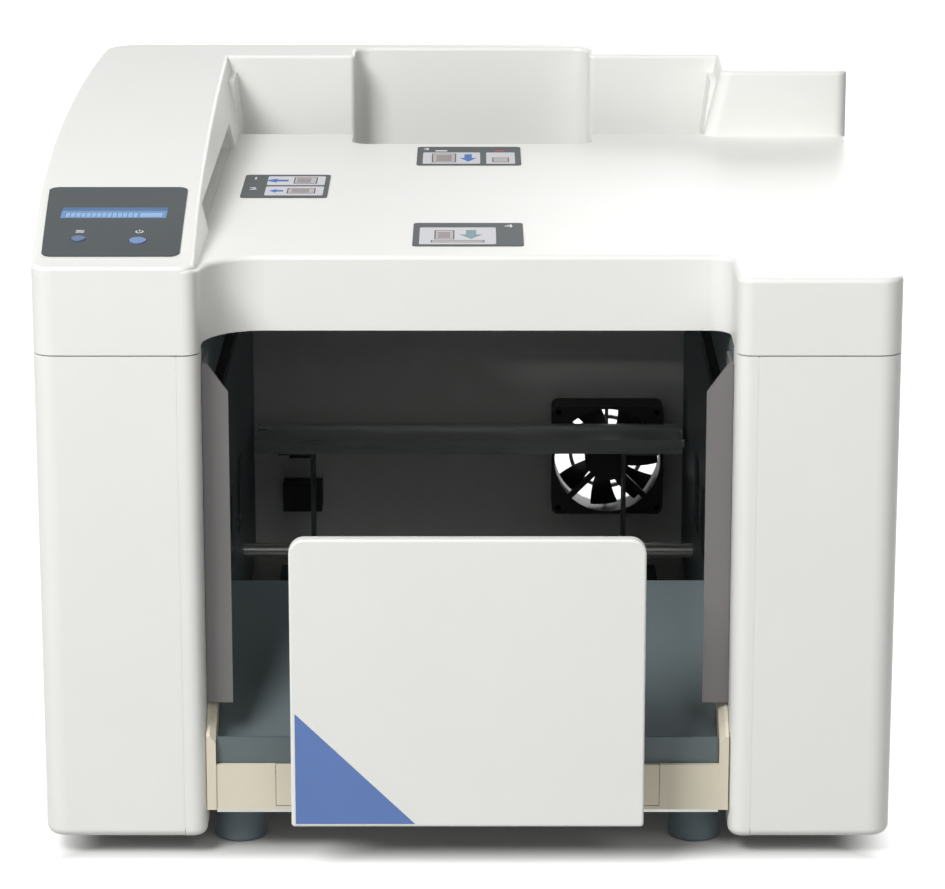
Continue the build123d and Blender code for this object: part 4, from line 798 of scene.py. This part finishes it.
# %% Louvre fins and cover ribs
LOUVRES, LOUVRE_PITCH = 6, 0.009
louvre_low = FLOOR_GAP + 0.210 - LOUVRE_PITCH * (LOUVRES - 1) / 2
for side, word in ((-1, "left"), (1, "right")):
    start = (side * 0.06, REAR_Y - 0.0062, louvre_low + 0.0012)
    row(f"louvre_fins_{word}", LOUVRES, start, (0, 0, LOUVRE_PITCH), (0.066, 0.0085, 0.0012), "base",
        IVORY_ABS, turn=(radians(-38), 0, 0))
DECK_UNDER = DECK_Z - 0.003
RIB_WIDE, RIB_TALL, RIB_Z = 0.0016, 0.0036, DECK_UNDER - 0.0008
row("deck_ribs_along", 7, (-0.12, FRONT_Y + 0.245, RIB_Z), (0.04, 0, 0), (RIB_WIDE, 0.33, RIB_TALL),
    "cover", IVORY_ABS)
row("deck_ribs_across", 8, (0, FRONT_Y + 0.09, RIB_Z), (0, 0.043, 0), (0.27, RIB_WIDE, RIB_TALL),
    "cover", IVORY_ABS)
print("fins behind each louvre panel:", LOUVRES)

# %% [markdown]
# The fan's impeller is a moulded hub with seven blades, each twisted from a steep pitch at the hub
# to a shallow one at the tip. One blade is drawn as a curved sheet with a thickness, and a tree
# turns copies of it round the hub.

# %% One fan blade
FAN_CENTRE = Vector((fan_mid.x, 0, fan_mid.z))
ROTOR_LOW, ROTOR_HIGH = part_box("fan_rotor")
BLADES = 7
PITCH_AT_HUB, PITCH_LOSS, BLADE_SWEEP = 48, 22, 10  # degrees
CHORD_AT_HUB, CHORD_GAIN, BLADE_BOW = 0.0165, 0.006, 0.0018
HALF_BLADE = 0.7 * MM


def fan_blade(hub=0.0155, tip=0.0365, spans=8, chords=6):
    """One blade about the Y axis through the origin, as a closed curved sheet."""
    work = bmesh.new()
    middle = (ROTOR_LOW.y + ROTOR_HIGH.y) / 2
    sides = []
    for offset in (-HALF_BLADE, HALF_BLADE):
        grid = []
        for i in range(spans + 1):
            t = i / spans
            radius = hub + (tip - hub) * t
            pitch = radians(PITCH_AT_HUB - PITCH_LOSS * t)
            chord = CHORD_AT_HUB + CHORD_GAIN * t
            sweep = radians(BLADE_SWEEP * t)
            line = []
            for j in range(chords + 1):
                u = j / chords - 0.5
                bow = BLADE_BOW * (1 - (2 * u) ** 2)
                around = u * chord * cos(pitch) / radius + sweep
                depth = u * chord * sin(pitch) + bow * cos(pitch) + offset
                line.append(work.verts.new((radius * cos(around), middle + depth, radius * sin(around))))
            grid.append(line)
        sides.append(grid)
    low, high = sides
    for i in range(spans):
        for j in range(chords):
            work.faces.new((low[i][j], low[i][j + 1], low[i + 1][j + 1], low[i + 1][j]))
            work.faces.new((high[i][j], high[i + 1][j], high[i + 1][j + 1], high[i][j + 1]))
    for i in range(spans):
        work.faces.new((low[i][0], low[i + 1][0], high[i + 1][0], high[i][0]))
        work.faces.new((low[i][-1], high[i][-1], high[i + 1][-1], low[i + 1][-1]))
    for j in range(chords):
        work.faces.new((low[0][j], high[0][j], high[0][j + 1], low[0][j + 1]))
        work.faces.new((low[-1][j], low[-1][j + 1], high[-1][j + 1], high[-1][j]))
    bmesh.ops.recalc_face_normals(work, faces=work.faces)
    return as_mesh(work, "blade")


print("blade from", PITCH_AT_HUB, "to", PITCH_AT_HUB - PITCH_LOSS, "degrees")

# %% [markdown]
# The hub is a turned form, and so are the feet further on: a profile of radius and height is swept
# round an axis and closed at both ends.

# %% Turned solids


def turned(profile, centre, axis="Y", sides=48):
    """A solid of revolution: profile points are (radius, place along the axis), closed on the axis."""
    work = bmesh.new()
    rings = []
    for radius, along in profile:
        ring = []
        for i in range(sides if radius > 0 else 1):
            a = 2 * pi * i / sides
            u, v = radius * cos(a), radius * sin(a)
            ring.append(work.verts.new((u, along, v) if axis == "Y" else (u, v, along)))
        rings.append(ring)
    for low, high in zip(rings, rings[1:]):
        for i in range(sides):
            j = (i + 1) % sides
            if len(low) == 1:
                work.faces.new((low[0], high[j], high[i]))
            elif len(high) == 1:
                work.faces.new((low[i], low[j], high[0]))
            else:
                work.faces.new((low[i], low[j], high[j], high[i]))
    bmesh.ops.recalc_face_normals(work, faces=work.faces)
    mesh = as_mesh(work, "turned")
    mesh.transform(Matrix.Translation(centre))
    return mesh


print("turned solids ready")

# %% [markdown]
# The impeller's tree puts as many points as there are blades on the fan's centre, and turns the blade
# on each by its share of the circle.

# %% Blades round the hub


def impeller_tree():
    """Turn copies of the source mesh about Y, evenly round the circle."""
    tree = bpy.data.node_groups.new("blades round a hub", "GeometryNodeTree")
    inputs = {"Blades": "NodeSocketInt", "Centre": "NodeSocketVector", "Finish": "NodeSocketMaterial"}
    identifiers = named_inputs(tree, inputs)
    entry = add_node(tree, "NodeGroupInput")
    count, centre = entry.outputs["Blades"], entry.outputs["Centre"]
    line = {"Count": count, "Start Location": centre, "Offset": (0, 0, 0)}
    points = add_node(tree, "GeometryNodeMeshLine", line)
    share = add_node(tree, "ShaderNodeMath", {0: 2 * pi, 1: count}, operation="DIVIDE")
    index = add_node(tree, "GeometryNodeInputIndex")
    product = {0: index.outputs[0], 1: share.outputs[0]}
    angle = add_node(tree, "ShaderNodeMath", product, operation="MULTIPLY")
    turn = add_node(tree, "ShaderNodeCombineXYZ", {"Y": angle.outputs[0]})
    placed = {
        "Points": points.outputs[0],
        "Instance": entry.outputs["Geometry"],
        "Rotation": turn.outputs[0],
    }
    copies = add_node(tree, "GeometryNodeInstanceOnPoints", placed)
    close_tree(tree, entry, copies.outputs[0])
    return tree, identifiers


IMPELLER = impeller_tree()
values = {"Blades": BLADES, "Centre": FAN_CENTRE, "Finish": BLACK_NYLON}
blades = grow("fan_blades", fan_blade(), *IMPELLER, values)
blades = keep(blades, "fan_blades", "fan_rotor", BLACK_NYLON)
near, far = ROTOR_LOW.y, ROTOR_HIGH.y
hub_profile = [(0, near), (0.0145, near), (0.016, near + 0.0015), (0.016, far - 0.002),
               (0.0155, far - 0.0008), (0.0142, far), (0.0105, far), (0.0102, far - 0.0006),
               (0, far - 0.0006)]
hub = keep(turned(hub_profile, FAN_CENTRE), "fan_hub", "fan_rotor", BLACK_NYLON)
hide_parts("fan_rotor")
print("impeller:", len(blades.data.polygons), "blade faces")

# %% [markdown]
# A rubber foot is moulded with a sunken middle, so that a washer and the screw that holds it stay
# clear of the table, and with a groove that lets the rim flex and grip.

# %% Rubber feet
FOOT_TOP = 0.026
foot_profile = [(0, 0.008), (0.0062, 0.008), (0.0068, 0.0005), (0.0075, 0.0), (0.0105, 0.0),
                (0.0108, 0.001), (0.0118, 0.001), (0.0121, 0.0), (0.0145, 0.0), (0.0156, 0.0006),
                (0.016, 0.0018), (0.0155, 0.008), (0.0144, 0.0255), (0.014, FOOT_TOP), (0, FOOT_TOP)]
foot_places = [(x * MM, FRONT_Y + s * MM) for x in (-137, 137) for s in (40, 505)]
foot_shape = bpy.data.objects.new("foot", turned(foot_profile, (0, 0, 0), axis="Z", sides=40))
spots = [(x, y, 0, (0, 0, 1)) for x, y in foot_places]
feet = plant("rubber_feet_moulded", spots, 1000, "base", FOOT_RUBBER, piece=foot_shape)
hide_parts("rubber_feet")
plant("foot_screws", [(x, y, 0.0081, DOWN) for x, y in foot_places], 4.2, "base", ZINC)
print("feet:", len(feet.data.polygons), "faces")

# %% [markdown]
# The rocker switch carries the two usual marks, a bar and a ring. Its face is bent in the middle, so
# each mark gets the plane of its own half.

# %% Rocker marks
ROCKER_X, ROCKER_Z = -0.12, FLOOR_GAP + 0.095


def rocker_plane(z_from, z_to, y_from, y_to):
    """A plane on one half of the rocker's face, with X along the machine and Y up the face."""
    up_face = Vector((0, y_to - y_from, z_to - z_from)).normalized()
    across = Vector((-1, 0, 0))
    normal = across.cross(up_face)
    middle = Vector((ROCKER_X, (y_from + y_to) / 2, (z_from + z_to) / 2))
    turn = Matrix((across, up_face, normal)).transposed().to_4x4()
    return Matrix.Translation(middle - normal * INK_LIFT * MM) @ turn


UPPER = rocker_plane(ROCKER_Z, ROCKER_Z + 0.0046, REAR_Y - 0.001, REAR_Y + 0.0026)
LOWER = rocker_plane(ROCKER_Z - 0.0046, ROCKER_Z, REAR_Y + 0.001, REAR_Y - 0.001)
bar = [rectangle(-0.35, 0.35, -1.4, 1.4)]
ring = [arc_band(0, 0, 0.9, 1.35, 0, 178), arc_band(0, 0, 0.9, 1.35, 180, 358)]
for word, shape, plane in (("on", bar, UPPER), ("off", ring, LOWER)):
    mark = prisms(shape, plane, INK_THICK)
    keep(mark, f"switch_{word}_mark", "power_switch", INK_WHITE)
print("switch marks: 2")

# %% [markdown]
# A row of square pins stands out of each connector on the control board, at the usual pitch of a
# tenth of an inch.

# %% Connector pins
PIN_COUNT, PIN_PITCH, PIN_LONG, PIN_THICK = 12, 0.00254, 0.006, 0.0007
CONNECTOR_FACE = 0.0076  # from the board's outer side to the connectors' faces
face_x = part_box("control_board")[0].x + CONNECTOR_FACE
for index, (near, low) in enumerate(((0.180, 0.126), (0.226, 0.090))):
    start = (face_x + PIN_LONG / 2, FRONT_Y + near, FLOOR_GAP + low)
    row(f"board_pins_{index}", PIN_COUNT, start, (0, PIN_PITCH, 0), (PIN_LONG, PIN_THICK, PIN_THICK),
        "base", ZINC)
print("connector pins:", 2 * PIN_COUNT)

# %% [markdown]
# The camera stands 2.3 m away from the machine's front and looks 15 degrees down through a long lens,
# as in the photograph. Its numbers come from fitting the machine's edges in the picture.

# %% Camera
SENSOR_MM = 36.0
LENS_MM = 147.77
CAMERA_PLACE = (0.0029, -2.4325, 0.831)
CAMERA_DROP = 14.9


def make_camera():
    """A long lens, level across, looking down at the machine."""
    data = bpy.data.cameras.new("camera")
    data.sensor_width, data.lens, data.clip_end = SENSOR_MM, LENS_MM, 100.0
    camera = bpy.data.objects.new("camera", data)
    camera.location = CAMERA_PLACE
    camera.rotation_euler = (radians(90 - CAMERA_DROP), 0, 0)
    bpy.context.scene.collection.objects.link(camera)
    bpy.context.scene.camera = camera


make_camera()
print("camera at", CAMERA_PLACE, "lens", LENS_MM, "mm")

# %% [markdown]
# The floor is a plain pale sheet. To the camera it shines white away from the machine, as a lit
# studio table does, and the shine fades out under the machine, where its shadow lies. The fade follows
# the footprint's outline, from 35 mm inside to 15 mm outside its edge, so it is a painted shadow
# laid over the real one.

# %% Floor
FOOTPRINT = (0.252, 0.277, 0)
# Painted shadow: the shine fades from 35 mm inside the footprint's edge to 15 mm outside, down to a
# trace under the machine.
FADE_FROM, FADE_TO, UNDER_GLOW = -0.035, 0.015, 0.02


def make_floor(size=40.0):
    """A plain pale floor: white to the camera outside the machine's footprint, with a painted shadow
    fading in along its edge over the real shadow under it.
    """
    mesh = bpy.data.meshes.new("floor")
    half = size / 2
    corners = [(-half, -half, 0), (half, -half, 0), (half, half, 0), (-half, half, 0)]
    mesh.from_pydata(corners, [], [(0, 1, 2, 3)])
    floor = bpy.data.objects.new("floor", mesh)
    bpy.context.scene.collection.objects.link(floor)
    material, tree, shader = new_material("pale floor", Roughness=0.9)
    shader.inputs["Base Color"].default_value = linear("#B8B8B6")
    shader.inputs["Specular IOR Level"].default_value = 0.0
    path = add_node(tree, "ShaderNodeLightPath")
    rays = {0: path.outputs["Is Camera Ray"], 1: path.outputs["Is Glossy Ray"]}
    seen = add_node(tree, "ShaderNodeMath", rays, operation="MAXIMUM")
    ground = add_node(tree, "ShaderNodeVectorMath", {0: place_on(tree)}, operation="ABSOLUTE")
    past = {0: ground.outputs[0], 1: FOOTPRINT}
    beyond = add_node(tree, "ShaderNodeVectorMath", past, operation="SUBTRACT")
    apart = add_node(tree, "ShaderNodeSeparateXYZ", {0: beyond.outputs[0]})
    either = {0: apart.outputs["X"], 1: apart.outputs["Y"]}
    outside = add_node(tree, "ShaderNodeMath", either, operation="MAXIMUM")
    reach = {
        "Value": outside.outputs[0],
        "From Min": FADE_FROM, "From Max": FADE_TO, "To Min": UNDER_GLOW, "To Max": 1.0,
    }
    painted_shadow_fade = add_node(tree, "ShaderNodeMapRange", reach, interpolation_type="SMOOTHSTEP")
    both = {0: seen.outputs[0], 1: painted_shadow_fade.outputs[0]}
    lift = add_node(tree, "ShaderNodeMath", both, operation="MULTIPLY")
    shader.inputs["Emission Color"].default_value = (1, 1, 1, 1)
    tree.links.new(lift.outputs[0], shader.inputs["Emission Strength"])
    dress(floor, material)


make_floor()
print("floor made")

# %% [markdown]
# The sky is even. It is full white where the camera or a reflection sees it, so the picture has a
# clean background, and much softer as light, so the lamps can shape the machine.

# %% Sky


def make_world(sky=0.15):
    """An even white sky: full white to the camera and in reflections, softer as light."""
    world = bpy.context.scene.world or bpy.data.worlds.new("world")
    bpy.context.scene.world = world
    world.use_nodes = True
    tree = world.node_tree
    back = tree.nodes["Background"]
    path = add_node(tree, "ShaderNodeLightPath")
    rays = {0: path.outputs["Is Camera Ray"], 1: path.outputs["Is Glossy Ray"]}
    seen = add_node(tree, "ShaderNodeMath", rays, operation="MAXIMUM")
    clear = {0: seen.outputs[0], 1: path.outputs["Is Transmission Ray"]}
    through = add_node(tree, "ShaderNodeMath", clear, operation="MAXIMUM")
    strength = {"Value": through.outputs[0], "To Min": sky, "To Max": 1.0}
    level = add_node(tree, "ShaderNodeMapRange", strength)
    back.inputs["Color"].default_value = (1, 1, 1, 1)
    tree.links.new(level.outputs[0], back.inputs["Strength"])


make_world()
print("sky made")

# %% [markdown]
# Three soft square lamps stand on a sphere about the machine. The key lamp is in front, high on the
# left, a weak fill stands on the right, and a low rear lamp keeps the back from going dark without
# washing out the top.

# %% Lamps
MIDDLE = (0, 0, 0.25)
LAMP_REACH = 3.3
# name: turn and height in degrees, size in metres, power in watts
LAMPS = {"key": (-35, 44, 1.2, 92), "fill": (20, 34, 1.2, 15), "rear": (160, 12, 2.0, 38)}


def make_lamp(name, place, target, size, watts):
    """A soft square lamp that points at a target."""
    data = bpy.data.lights.new(name, "AREA")
    data.size, data.energy = size, watts
    lamp = bpy.data.objects.new(name, data)
    lamp.location = place
    lamp.rotation_euler = (Vector(target) - Vector(place)).to_track_quat("-Z", "Y").to_euler()
    bpy.context.scene.collection.objects.link(lamp)


def around(turn, height):
    """A place on a sphere about the machine; turn 0 is in front and positive to the right."""
    level, up = LAMP_REACH * cos(radians(height)), LAMP_REACH * sin(radians(height))
    return (level * sin(radians(turn)), -level * cos(radians(turn)), MIDDLE[2] + up)


for name, (turn, height, size, watts) in LAMPS.items():
    make_lamp(name, around(turn, height), MIDDLE, size, watts)
bpy.context.scene.view_settings.view_transform = "Standard"
print("lamps:", list(LAMPS))
